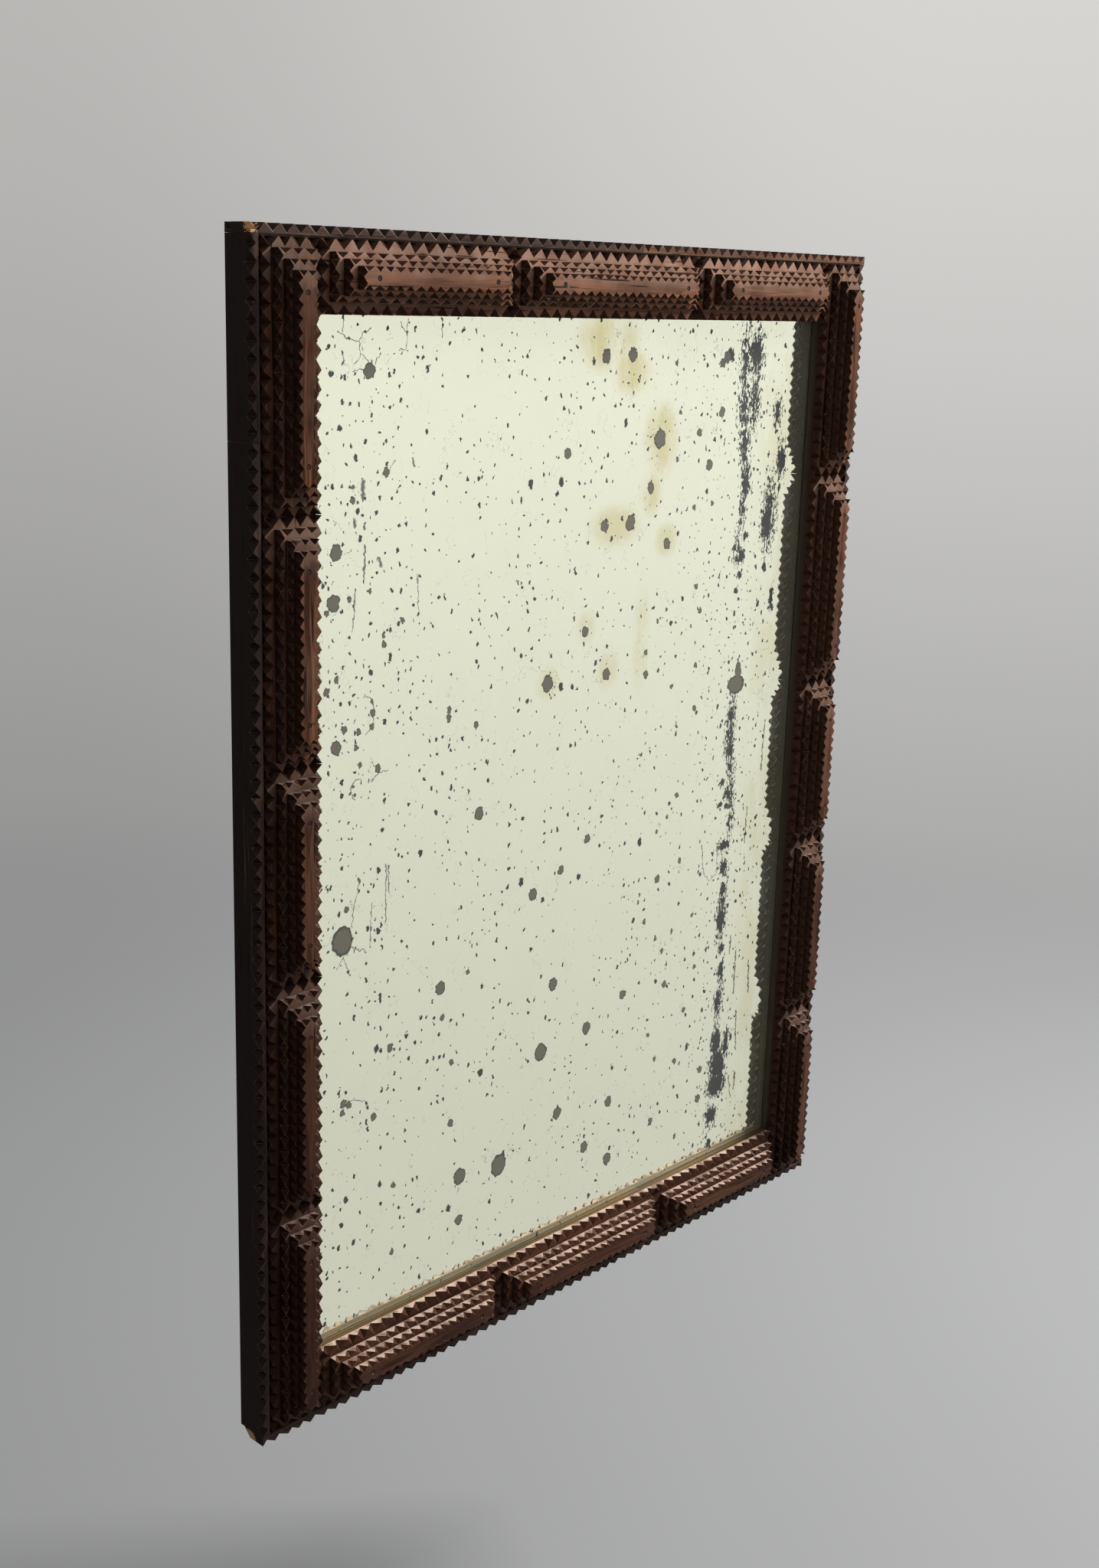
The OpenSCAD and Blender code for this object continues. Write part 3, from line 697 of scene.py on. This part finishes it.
    lines: tuple[Line, ...] = (
        Line(((-203, 307), (-203, 301), (-204, 299))),
        Line(((-207, 299), (-200, 296), (-192, 294), (-189, 298), (-183, 301))),
        Line(((-192, 294), (-190.6, 288), (-191, 285), (-195, 282))),
        Line(((-190.6, 287), (-186.6, 285.6), (-185, 281))),
        Line(((-176, 288), (-178.6, 285), (-179.4, 281))),
        Line(((-196, 278), (-191, 278.5), (-187.5, 278.5))),
        Line(((-155.6, 305.5), (-156.4, 299), (-156, 291.5), (-158, 289.4), (-162.4, 289))),
        Line(((-130, 307), (-129, 296))), Line(((-203.4, 288.6), (-202.5, 285.7), (-203.4, 282.4))),
        Line(((-161.4, 304), (-159.6, 301), (-156, 299))), Line(((200.2, 24.2), (198.8, -12.9)), 0.5),
        Line(((184.5, -38.1), (184, -66.5)), 0.5), Line(((173.8, -135.7), (173.3, -150.3)), 0.6),
        Line(((181.2, -149.8), (181.1, -184)), 0.6), Line(((197.6, -161.6), (199.4, -187.3)), 0.7),
        Line(((185.5, -198.6), (187.8, -231)), 0.6), Line(((188.5, -249), (188, -264)), 0.8),
        Line(((181, -250), (184.6, -269.3)), 0.5),
        Line(((133.3, -57.3), (136.8, -79.4), (143.6, -87.2), (152, -82.5), (152.4, -65.2)), 0.35),
        Line(((-186.6, 182.1), (-187.5, 161.8)), 0.7), Line(((-194, 157), (-194.8, 145.8)), 0.6),
        Line(((-194.8, 145.8), (-195.8, 133)), 0.35), Line(((-146, 162), (-145.3, 139.5)), 0.3),
        Line(((-176.4, 173.7), (-174.3, 169)), 1.2), Line(((-150.9, 228.2), (-149.6, 224.3)), 0.8),
        Line(((-188.5, 217.1), (-188.7, 208.4)), 1.3), Line(((-194.6, 196.2), (-194.4, 193.1)), 1.0),
        Line(((-173.9, 219.8), (-168, 224.6), (-164.7, 228.2)), 0.3),
        Line(((-187, 194.1), (-187, 191.3)), 0.9),
        Line(((-186.5, 95.5), (-181.3, 92.5), (-179.2, 83), (-181.2, 75.1), (-185.6, 71.6)), 0.35),
        Line(((-181.3, 54.8), (-176, 47.9), (-181.1, 42.9)), 0.3), Line(((-176, 47.5), (-167.7, 47.2)), 0.3),
        Line(((-189.3, 45.9), (-193.1, 46.5), (-197.3, 41.3), (-196.4, 36.9), (-193.1, 33.7)), 0.35),
        Line(((-189.5, -16), (-194.4, -31.4), (-195.8, -44.1)), 0.35),
        Line(((-180.4, -32.2), (-181.4, -59.5)), 0.3), Line(((-195.8, -56.1), (-184.4, -62)), 0.35),
        Line(((-207.6, -67.5), (-202.3, -61), (-197.2, -73.7)), 0.3),
        Line(((-169.1, -10.7), (-168.8, -46.8)), 0.45), Line(((-167, -11.2), (-166.8, -28)), 0.45),
        Line(((-198.5, -154.3), (-184.8, -158.6), (-183.8, -162.7)), 0.3),
    )
    stains: tuple[Flake, ...] = (
        Flake(14, 294, 30.0, 20.0), Flake(36, 276, 20.0, 16.0), Flake(68, 231, 18.0, 26.0),
        Flake(60, 198, 12.0, 16.0), Flake(26, 178, 26.0, 14.0), Flake(78, 165, 12.0, 12.0),
        Flake(2, 114, 10.0, 12.0), Flake(56, 100, 10.0, 34.0), Flake(-33, 82, 11.0, 12.0),
        Flake(24, 84, 12.0, 14.0),
    )
    speckle: tuple[Specks, ...] = (
        Specks(185.0, 0.26, 0.21), Specks(92.0, 0.25, 0.150), Specks(34.0, 0.26, 0.085, crowding=0.4),
    )
    speck_squeeze: float = 0.70
    streak_x: float = 160.0
    shake: float = 4.5 * MM
    outside: float = -9.0

    def blank(self, bench: NodeBench, place: Socket, least: float) -> Socket:
        """Returns a point of the glass with a number in place of its depth."""
        x, _, z = bench.parts(place)
        return bench.joined(x, least, z)

    def marked(self, bench: NodeBench, point: Socket, found: Socket) -> Socket:
        """Returns a point that keeps the larger of what it held in place of its depth and what was found."""
        x, held, z = bench.parts(point)
        return bench.joined(x, bench.sums("MAXIMUM", held, found), z)

    def deepest(self, bench: NodeBench, place: Socket, shapes: Sequence[Union[Spot, Flake]]) -> Socket:
        """Measures how far a point is inside the nearest of several shapes.

        Args:
            bench: The material's bench.
            place: Coordinates on the glass.
            shapes: The shapes.

        Returns:
            1 at the middle of a shape, 0 at its edge and less outside it.
        """
        point = self.blank(bench, place, self.outside)
        for shape in shapes:
            scale = (1.0 / (shape.half_w * MM), 0.0, 1.0 / (shape.half_h * MM))
            middle = (shape.x / shape.half_w, 0.0, shape.z / shape.half_h)
            gap = bench.vectors("DISTANCE", bench.stretched(point, scale), middle)
            point = self.marked(bench, point, bench.sums("SUBTRACT", 1.0, gap.outputs["Value"]))
        return bench.axis(point, "Y")

    def drawn(self, bench: NodeBench, place: Socket) -> Socket:
        """Draws the hairlines that have a place of their own.

        Args:
            bench: The material's bench.
            place: Coordinates on the glass.

        Returns:
            A mask.
        """
        point = self.blank(bench, place, 0.0)
        for line in self.lines:
            for (x0, z0), (x1, z1) in zip(line.corners, line.corners[1:]):
                span = Vector((x1 - x0, 0.0, z1 - z0)) * MM
                flat = bench.stretched(point, (1.0, 0.0, 1.0))
                arm = bench.vectors("SUBTRACT", flat, (x0 * MM, 0.0, z0 * MM)).outputs[0]
                share = bench.vectors("DOT_PRODUCT", arm, tuple(span / span.length_squared))
                within = bench.sums("ADD", share.outputs["Value"], 0.0, clamp=True)
                foot = bench.vectors("MULTIPLY", tuple(span), within).outputs[0]
                off = bench.vectors("DISTANCE", arm, foot).outputs["Value"]
                near = bench.fade(off, line.half_w * 1.5 * MM, line.half_w * 0.5 * MM)
                point = self.marked(bench, point, near)
        return bench.axis(point, "Y")

    def specks(self, bench: NodeBench, place: Socket, crowd: Socket, kind: Specks) -> Socket:
        """Scatters specks of one size.

        Args:
            bench: The material's bench.
            place: Coordinates on the glass.
            crowd: What to add to the share of cells that hold a speck.
            kind: The size and number of the specks.

        Returns:
            A mask.
        """
        x, _, z = bench.parts(place)
        cell = bench.cells(x, bench.times(z, self.speck_squeeze), kind.scale)
        pick = bench.wire(bench.add("ShaderNodeSeparateColor"), {"Color": cell.outputs["Color"]})
        share = bench.sums("ADD", bench.times(crowd, kind.crowding), kind.share)
        keep = bench.sums("LESS_THAN", pick.outputs["Red"], share)
        uneven = bench.sums("POWER", pick.outputs["Green"], 1.6)
        reach = bench.times(bench.sums("ADD", bench.times(uneven, 0.66), 0.34), kind.size)
        dot = bench.fade(bench.sums("DIVIDE", cell.outputs["Distance"], reach), 1.05, 0.72)
        return bench.times(dot, keep)

    def crowding(self, bench: NodeBench, place: Socket) -> Socket:
        """Crowds the specks along the left edge, along the streak and in patches.

        Args:
            bench: The material's bench.
            place: Coordinates on the glass.

        Returns:
            What to add to the share of cells that hold a speck.
        """
        x, _, z = bench.parts(place)
        left = bench.fade(x, -130.0 * MM, -215.0 * MM)
        left = bench.times(left, bench.fade(z, -130.0 * MM, 60.0 * MM, 0.05, 0.40))
        off = bench.sums("ABSOLUTE", bench.sums("SUBTRACT", x, self.streak_x * MM))
        crowd = bench.sums("ADD", left, bench.fade(off, 55.0 * MM, 5.0 * MM, 0.0, 0.40))
        patchy = bench.fade(bench.noise(place, 22.0, 2.0), 0.35, 0.65, -0.12, 0.16)
        return bench.sums("ADD", crowd, patchy)

    def peeled(self, bench: NodeBench, place: Socket) -> Socket:
        """Finds the flecks that have peeled in a streak from top to bottom near the right edge.

        Args:
            bench: The material's bench.
            place: Coordinates on the glass.

        Returns:
            A mask.
        """
        drift = bench.noise(bench.stretched(place, (0.0, 0.0, 1.0)), 9.0, 2.0)
        middle = bench.fade(drift, 0.3, 0.7, (self.streak_x - 5.0) * MM, (self.streak_x + 7.0) * MM)
        off = bench.sums("ABSOLUTE", bench.sums("SUBTRACT", bench.axis(place, "X"), middle))
        patch = bench.noise(bench.stretched(place, (0.6, 0.0, 1.0)), 17.0, 2.0)
        shreds = bench.noise(bench.stretched(place, (1.0, 0.0, 0.36)), 620.0, 3.0, 0.65)
        grip = bench.fade(off, 0.0, 15.0 * MM, 0.14, -0.20)
        grip = bench.sums("ADD", grip, bench.fade(patch, 0.3, 0.7, -0.22, 0.08))
        return bench.fade(bench.sums("ADD", shreds, grip), 0.62, 0.66)

    def hairs(self, bench: NodeBench, place: Socket, spot: Socket) -> Socket:
        """Draws hairline cracks that wander round the spots.

        Args:
            bench: The material's bench.
            place: Coordinates on the glass.
            spot: How far inside a spot a point is.

        Returns:
            A mask.
        """
        wander = bench.noise(bench.stretched(place, (1.0, 0.0, 0.7)), 55.0, 3.0, 0.6)
        line = bench.fade(bench.sums("ABSOLUTE", bench.sums("SUBTRACT", wander, 0.5)), 0.0045, 0.002)
        broken = bench.fade(bench.noise(place, 70.0, 2.0), 0.50, 0.60)
        near = bench.sums("ADD", bench.fade(spot, -5.0, -0.5), 0.25, clamp=True)
        return bench.times(bench.times(bench.times(line, broken), near), 0.6)

    def gone(self, bench: NodeBench, place: Socket, spot: Socket) -> Socket:
        """Finds where the silvering has gone.

        Args:
            bench: The material's bench.
            place: Coordinates on the glass.
            spot: How far inside a spot a point is.

        Returns:
            A mask.
        """
        crowd = self.crowding(bench, place)
        shred = bench.noise(bench.stretched(place, (1.0, 0.0, 0.38)), 560.0, 3.0, 0.65)
        flake = self.deepest(bench, place, self.flakes)
        patch = self.deepest(bench, place, self.patches)
        torn = bench.sums("ADD", flake, bench.fade(shred, 0.3, 0.7, -1.0, 0.6))
        lost = bench.sums("ADD", patch, bench.fade(shred, 0.3, 0.7, -0.45, 0.45))
        masks = [self.specks(bench, place, crowd, kind) for kind in self.speckle]
        masks += [
            bench.fade(spot, 0.0, 0.08),
            self.peeled(bench, place),
            bench.fade(torn, 0.0, 0.1),
            bench.fade(lost, 0.0, 0.1),
            self.hairs(bench, place, spot),
            bench.times(self.drawn(bench, place), 0.9),
        ]
        found: Value = 0.0
        for mask in masks:
            found = bench.sums("MAXIMUM", found, mask)
        return found

    def tarnished(self, bench: NodeBench, place: Socket) -> Socket:
        """Colours the silvering that is left, with its yellow stains and dull clouds.

        Args:
            bench: The material's bench.
            place: Coordinates on the glass.

        Returns:
            The colour.
        """
        x, _, z = bench.parts(place)
        tarnish = bench.noise(bench.stretched(place, (1.0, 0.0, 0.45)), 34.0, 5.0, 0.65)
        soaked = bench.fade(self.deepest(bench, place, self.stains), -0.25, 0.6)
        high = bench.fade(z, 40.0 * MM, 290.0 * MM, 0.35, 0.9)
        yellow = bench.times(bench.times(soaked, high), bench.fade(tarnish, 0.32, 0.58, 0.15, 1.0))
        edge = bench.fade(x, 165.0 * MM, 195.0 * MM, 0.0, 0.3)
        edge = bench.times(edge, bench.fade(tarnish, 0.4, 0.6))
        colour = bench.mix(bench.sums("MAXIMUM", yellow, edge), self.silver, self.stain)
        cloudy = bench.fade(bench.noise(place, 30.0, 3.0), 0.35, 0.75, 0.0, 0.06)
        return bench.mix(cloudy, colour, self.dulled)

    def material(self) -> bpy.types.Material:
        """Makes the finish, its marks shaken so that their edges are ragged.

        Returns:
            The material.
        """
        bench = NodeBench.named(self.name)
        true_place = bench.place()
        ragged = bench.cloud(true_place, 330.0, 3.0, 0.5).outputs["Color"]
        shaken = bench.vectors("SUBTRACT", ragged, (0.5, 0.5, 0.5)).outputs[0]
        shaken = bench.stretched(shaken, (self.shake, 0.0, self.shake))
        place = bench.vectors("ADD", true_place, shaken).outputs[0]
        spot = self.deepest(bench, place, self.spots)
        gone = self.gone(bench, place, spot)
        under = bench.mix(bench.fade(spot, 0.06, 0.30), self.rim, self.bare)
        return bench.finish(
            Base_Color=bench.mix(gone, self.tarnished(bench, place), under),
            Metallic=bench.fade(gone, 0.0, 1.0, 0.94, 0.0),
            Roughness=bench.sums("ADD", bench.times(gone, 0.4), 0.03),
        )


@dataclass(frozen=True)
class ClearGlass:
    """Old plate glass, faintly green."""

    name: str
    tint: Colour = (0.62, 0.72, 0.64)
    hazy: Colour = (0.70, 0.74, 0.66)

    def material(self) -> bpy.types.Material:
        """Makes the finish.

        Returns:
            The material.
        """
        bench = NodeBench.named(self.name)
        ripple = bench.noise(bench.place(), 12.0, 1.0)
        haze = bench.noise(bench.place(), 40.0, 4.0)
        return bench.finish(
            Base_Color=bench.mix(bench.fade(haze, 0.3, 0.8), self.tint, self.hazy),
            Roughness=bench.fade(haze, 0.3, 0.8, 0.02, 0.06),
            Alpha=0.03,
            Normal=bench.bump(ripple, 0.05 * MM, 0.1),
        )


def welded_copy(node: str, name: str) -> bpy.types.Object:
    """Copies a solid, welds its triangles and leaves the copy in edit mode, all selected.

    Args:
        node: The solid's name.
        name: The copy's name.

    Returns:
        The copy.
    """
    piece = bpy.data.objects.new(name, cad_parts[node].data.copy())
    piece.data.materials.clear()
    bpy.context.scene.collection.objects.link(piece)
    bpy.ops.object.select_all(action="DESELECT")
    bpy.context.view_layer.objects.active = piece
    piece.select_set(True)
    bpy.ops.object.mode_set(mode="EDIT")
    bpy.ops.mesh.select_all(action="SELECT")
    bpy.ops.mesh.remove_doubles(threshold=WELD)
    return piece


@dataclass
class SoftenedBoard:
    """A board copied from its solid, with its triangles merged and its arrises eased."""

    node: str
    slot: str
    ease: float
    finishes: tuple[bpy.types.Material, ...]
    body: str = "frame"
    flat: float = math.radians(0.2)
    sharp: float = math.radians(15.0)

    def build(self) -> None:
        """Copies, merges and bevels the board, and lets it stand for its solid."""
        piece = welded_copy(self.node, self.node + "_board")
        bpy.ops.mesh.dissolve_limited(angle_limit=self.flat)
        bpy.ops.mesh.normals_make_consistent(inside=False)
        bpy.ops.object.mode_set(mode="OBJECT")
        for finish in self.finishes:
            piece.data.materials.append(finish)
        bevel = piece.modifiers.new("eased arris", "BEVEL")
        bevel.width = self.ease
        bevel.segments = 1
        bevel.limit_method = "ANGLE"
        bevel.angle_limit = self.sharp
        bevel.material = 1
        bpy.ops.object.modifier_apply(modifier=bevel.name)
        bpy.ops.object.shade_flat()
        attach(piece, self.body)
        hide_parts(self.node)
        LOG.info("built %s", self.node)


def dress(node: str, finish: bpy.types.Material) -> None:
    """Gives a solid of the frame its finish.

    Args:
        node: The solid's name.
        finish: The material.
    """
    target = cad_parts[node]
    target.data.materials.clear()
    target.data.materials.append(finish)
    LOG.info("dressed %s", node)


@dataclass
class NotchedLayers:
    """The four stacked layers of notched boards on one side of the frame."""

    side: str
    grain: Grain
    tone: float
    cut: Colour
    # How strong the dusting and painted sheen on the ledges are.
    dust_and_sheen_share: float
    # How strong the painted shade lower down is.
    shade_low_depth: float = 0.42
    tops: tuple[float, ...] = ()
    ease: float = 0.2 * MM
    layers: int = 4
    finishes: tuple[bpy.types.Material, ...] = field(default_factory=tuple)

    def dress(self) -> None:
        """Makes the finishes of the side's boards."""
        look = {"cut": self.cut, "dust_and_sheen_share": self.dust_and_sheen_share, "shade_low_depth": self.shade_low_depth, "tops": self.tops}
        wood = StainedWood(f"stained_{self.side}", self.grain, self.tone, **look)
        arris = WornArris(f"arris_{self.side}", self.tone)
        self.finishes = (wood.material(), arris.material())

    def build(self) -> None:
        """Makes the softened boards of the layers."""
        for layer in range(1, self.layers + 1):
            SoftenedBoard(f"{self.side}_layer_{layer}", "stained_wood", self.ease, self.finishes).build()


@dataclass
class OuterBoards:
    """The boards and strips on edge round the outside, two of them with a chipped end."""

    ease: float = 0.3 * MM
    uprights: tuple[str, ...] = ("left_side_upper", "left_side_lower", "right_side")
    above: tuple[str, ...] = ("top_strip_left",)
    above_right: tuple[str, ...] = ("top_strip_right",)
    below: tuple[str, ...] = ("bottom_strip",)
    torn: Chip = Chip(-271.0, -19.5, 352.0, 4.6)
    rubbed: Chip = Chip(-271.5, -9.0, -352.5, 5.5)
    arris: Colour = (0.30, 0.19, 0.135)
    arris_dark: Colour = (0.085, 0.050, 0.036)

    def build(self) -> None:
        """Makes and finishes the softened boards."""
        black = {
            "face": (0.080, 0.045, 0.034), "face_dark": (0.022, 0.013, 0.010), "faded": (0.050, 0.030, 0.023),
            "cut": (0.014, 0.008, 0.006), "dust_and_sheen_share": 0.2,
        }
        grey = {
            "face": (0.100, 0.058, 0.044), "face_dark": (0.030, 0.018, 0.013), "faded": (0.072, 0.046, 0.036),
            "cut": (0.022, 0.014, 0.011), "worn": (0.24, 0.155, 0.11), "dust_and_sheen_share": 0.3,
        }
        brown = {
            "face": (0.230, 0.110, 0.066), "face_dark": (0.060, 0.028, 0.017), "faded": (0.160, 0.090, 0.060),
            "cut": (0.060, 0.028, 0.018), "dust_and_sheen_share": 0.3,
        }
        groups = (
            (self.uprights, StainedWood("edge_wood_upright", Grain.UPRIGHT, **black), 0.35),
            (self.above, StainedWood("edge_wood_above", Grain.ACROSS, chips=(self.torn,), **grey), 0.8),
            (self.above_right, StainedWood("edge_wood_above_right", Grain.ACROSS, **brown), 0.8),
            (self.below, StainedWood("edge_wood_below", Grain.ACROSS, chips=(self.rubbed,), **black), 0.35),
        )
        for names, finish, tone in groups:
            arris = WornArris(f"arris_{finish.name}", tone, self.arris, self.arris_dark)
            finishes = (finish.material(), arris.material())
            for name in names:
                SoftenedBoard(name, "edge_wood", self.ease, finishes).build()


@dataclass
class Slips:
    """The golden linings of the opening."""

    uprights: tuple[str, ...] = ("left_slip", "right_slip")
    crossing: tuple[str, ...] = ("top_slip", "bottom_slip_left", "bottom_slip_middle", "bottom_slip_right")
    joints: tuple[tuple[str, float], ...] = (("X", -90.0), ("X", 78.0))

    def dress(self) -> None:
        """Gives the linings their clear varnished wood."""
        # The upright linings are darker than the crossing ones: darker wood with painted shade, since the right one
        # stands in shade.
        shaded_dull = {"pale": (0.050, 0.036, 0.022), "dark": (0.018, 0.013, 0.009), "gloss": 0.6, "shine": 0.15}
        gilt = {"pale": (0.120, 0.067, 0.018), "dark": (0.022, 0.012, 0.004), "gloss": 0.6, "shine": 0.10}
        upright = BareWood("slip_upright", Grain.UPRIGHT, **shaded_dull).material()
        across = BareWood("slip_across", Grain.ACROSS, rings=120.0, joints=self.joints, **gilt).material()
        for names, finish in ((self.uprights, upright), (self.crossing, across)):
            for name in names:
                dress(name, finish)


@dataclass
class MirrorPlate:
    """The glass and its worn silvering."""

    bite: float = 2.1 * MM

    def build(self) -> None:
        """Sets the silvering in the glass at the depth where it appears to lie through the front of it."""
        plate = welded_copy("mirror_silvering", "silver_film")
        bpy.ops.transform.translate(value=(0.0, -self.bite, 0.0))
        bpy.ops.object.mode_set(mode="OBJECT")
        plate.data.materials.append(FoxedSilver("foxed_silver").material())
        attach(plate, "frame")
        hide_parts("mirror_silvering")
        LOG.info("built %s", plate.name)

    def dress(self) -> None:
        """Gives the glass its finish."""
        dress("mirror_glass", ClearGlass("old_glass").material())


@dataclass
class BackOfFrame:
    """Base boards, packing strips, back boards and the iron that holds them."""

    seams: tuple[tuple[str, float], ...] = (("Z", -107.7), ("Z", 107.7))

    def dress(self) -> None:
        """Gives the pieces behind the glass their finishes."""
        aged = {"pale": (0.36, 0.235, 0.12), "dark": (0.17, 0.095, 0.045), "rings": 30.0}
        upright = BareWood("base_upright", Grain.UPRIGHT).material()
        across = BareWood("base_across", Grain.ACROSS).material()
        planks = BareWood("back_planks", Grain.ACROSS, joints=self.seams, **aged).material()
        nails = OldIron("nail_iron", (0.04, 0.034, 0.029), (0.020, 0.011, 0.008), 1.6).material()
        hanger = OldIron("hanger_steel", (0.50, 0.47, 0.40), rusted=0.2).material()
        finishes = {
            upright: ("left_stile", "right_stile", "left_packer", "right_packer"),
            across: ("top_rail", "bottom_rail", "top_packer", "bottom_packer"),
            planks: ("back_board_upper", "back_board_middle", "back_board_lower"),
            nails: ("layer_brads", "back_nails"),
            hanger: ("left_strap", "right_strap", "left_ring", "right_ring", "hanger_screws"),
        }
        for finish, names in finishes.items():
            for name in names:
                dress(name, finish)


@dataclass
class Studio:
    """Camera, lamp, floor and the pale room."""

    picture: tuple[int, int] = (1435, 2048)
    focal_px: float = 2450.3
    eye: Triple = (-0.88541, -0.81240, 0.32495)
    right: Triple = (0.687988, -0.725118, 0.029603)
    forward: Triple = (0.706579, 0.659976, -0.255300)
    sensor: float = 36.0
    lamp_at: Triple = (1.92, -0.88, 1.68)
    lamp_size: float = 0.8
    lamp_power: float = 155.0
    ahead_low: Colour = (0.62, 0.62, 0.61)
    ahead_high: Colour = (0.95, 0.95, 0.94)
    wall_low: Colour = (0.36, 0.36, 0.36)
    wall_high: Colour = (0.68, 0.67, 0.65)
    shadow: Colour = (0.05, 0.05, 0.05)
    daylight: Colour = (0.94, 0.97, 1.0)
    floor_colour: Colour = (0.21, 0.21, 0.208)
    floor_drop: float = 0.30
    floor_radius: float = 3.0
    floor_solid: float = 0.7
    floor_end: float = 2.6

    def camera(self) -> None:
        """Places the camera at the photograph's viewing angle."""
        data = bpy.data.cameras.new("photograph_view")
        data.sensor_width = self.sensor
        data.lens = self.focal_px * self.sensor / max(self.picture)
        data.clip_start = 0.01
        camera = bpy.data.objects.new("photograph_view", data)
        bpy.context.scene.collection.objects.link(camera)
        right = Vector(self.right).normalized()
        back = -Vector(self.forward).normalized()
        turn = Matrix((right, back.cross(right), back)).transposed()
        camera.matrix_world = Matrix.Translation(self.eye) @ turn.to_4x4()
        bpy.context.scene.camera = camera

    def lamp(self) -> None:
        """Sets one soft lamp to the right of the mirror, in front of it and above."""
        data = bpy.data.lights.new("soft_box", "AREA")
        data.shape = "SQUARE"
        data.size = self.lamp_size
        data.energy = self.lamp_power
        lamp = bpy.data.objects.new("soft_box", data)
        lamp.location = self.lamp_at
        lamp.rotation_euler = Vector(self.lamp_at).to_track_quat("Z", "Y").to_euler()
        bpy.context.scene.collection.objects.link(lamp)

    def seen(self, bench: NodeBench, look: Socket) -> Socket:
        """Colours the room: paler above, and with a wall behind the mirror.

        Args:
            bench: The world's bench.
            look: The direction of a ray.

        Returns:
            The colour.
        """
        _, y, z = bench.parts(look)
        ahead = bench.mix(bench.fade(z, -0.5, 0.15), self.ahead_low, self.ahead_high)
        wall = bench.mix(bench.fade(z, -0.45, 0.2), self.wall_low, self.wall_high)
        colour = bench.mix(bench.fade(y, -0.3, 0.3), ahead, wall)
        side = bench.vectors("DOT_PRODUCT", look, self.right).outputs["Value"]
        shade = bench.times(bench.fade(side, 0.2, -0.28, 0.0, 0.3), bench.fade(y, 0.0, 0.3))
        return bench.mix(shade, colour, self.shadow)

    def room(self) -> None:
        """Makes the pale room that the camera and the mirror see, and its ambient light."""
        world = bpy.data.worlds.new("pale_room")
        bpy.context.scene.world = world
        bench = NodeBench(world)
        look = bench.add("ShaderNodeTexCoord").outputs["Generated"]
        x, y, z = bench.parts(look)
        beside = bench.times(bench.fade(x, -0.1, 0.7, 0.0, 1.05), bench.fade(y, 0.2, -0.4, 0.45, 1.0))
        strength = bench.sums("ADD", bench.fade(z, -0.7, 0.7, 0.12, 0.36), beside)
        ambient = bench.add("ShaderNodeBackground")
        bench.wire(ambient, {"Color": self.daylight, "Strength": strength})
        view = bench.wire(bench.add("ShaderNodeBackground"), {"Color": self.seen(bench, look)})
        path = bench.add("ShaderNodeLightPath").outputs
        direct = bench.sums("ADD", path["Is Camera Ray"], path["Is Glossy Ray"], clamp=True)
        direct = bench.sums("ADD", direct, path["Is Transmission Ray"], clamp=True)
        choose = bench.add("ShaderNodeMixShader")
        for slot, shown in enumerate((direct, ambient.outputs[0], view.outputs[0])):
            bench.feed(choose.inputs[slot], shown)
        bench.wire(bench.add("ShaderNodeOutputWorld"), {"Surface": choose.outputs[0]})

    def floor(self) -> None:
        """Lays the pale floor, which fades out into the room."""
        low = CAD_BOX[0]
        bpy.ops.object.select_all(action="DESELECT")
        bpy.ops.mesh.primitive_circle_add(vertices=96, radius=self.floor_radius, fill_type="NGON")
        floor = bpy.context.object
        floor.name = "floor"
        floor.visible_diffuse = False
        floor.visible_glossy = False
        floor.data.transform(Matrix.Translation((0.0, 0.0, low.z - self.floor_drop)))
        bench = NodeBench.named("pale_floor")
        x, y, _ = bench.parts(bench.place())
        reach = bench.vectors("DISTANCE", bench.joined(x, y), (0.0, 0.0, 0.0)).outputs["Value"]
        solid = bench.fade(reach, self.floor_end, self.floor_solid)
        floor.data.materials.append(bench.finish(Base_Color=self.floor_colour, Roughness=0.9, Alpha=solid))

    def build(self) -> None:
        """Sets up everything that isn't the mirror."""
        bpy.context.scene.view_settings.view_transform = "Standard"
        self.camera()
        self.lamp()
        self.room()
        self.floor()


def main() -> None:
    """Builds and dresses the mirror, then the studio."""
    logging.basicConfig(level=logging.INFO, format="%(name)s: %(message)s")
    black, dark, brown = (0.018, 0.008, 0.005), (0.045, 0.020, 0.012), (0.170, 0.078, 0.047)
    left_tops = (-205.4, -63.8, 63.2, 202.6, 347.0)
    right_tops = (-208.9, -71.5, 50.0, 201.3, 347.0)
    sides = (
        NotchedLayers("left", Grain.UPRIGHT, tone=0.66, cut=dark, dust_and_sheen_share=0.25, shade_low_depth=0.68, tops=left_tops),
        NotchedLayers("right", Grain.UPRIGHT, tone=0.85, cut=dark, dust_and_sheen_share=0.25, tops=right_tops),
        NotchedLayers("top", Grain.ACROSS, tone=1.30, cut=black, dust_and_sheen_share=0.35, tops=(354.0,)),
        NotchedLayers("bottom", Grain.ACROSS, tone=0.72, cut=brown, dust_and_sheen_share=0.75),
    )
    for layers in sides:
        layers.dress()
        layers.build()
    OuterBoards().build()
    Slips().dress()
    mirror = MirrorPlate()
    mirror.build()
    mirror.dress()
    BackOfFrame().dress()
    Studio().build()


if __name__ == "__main__":
    main()
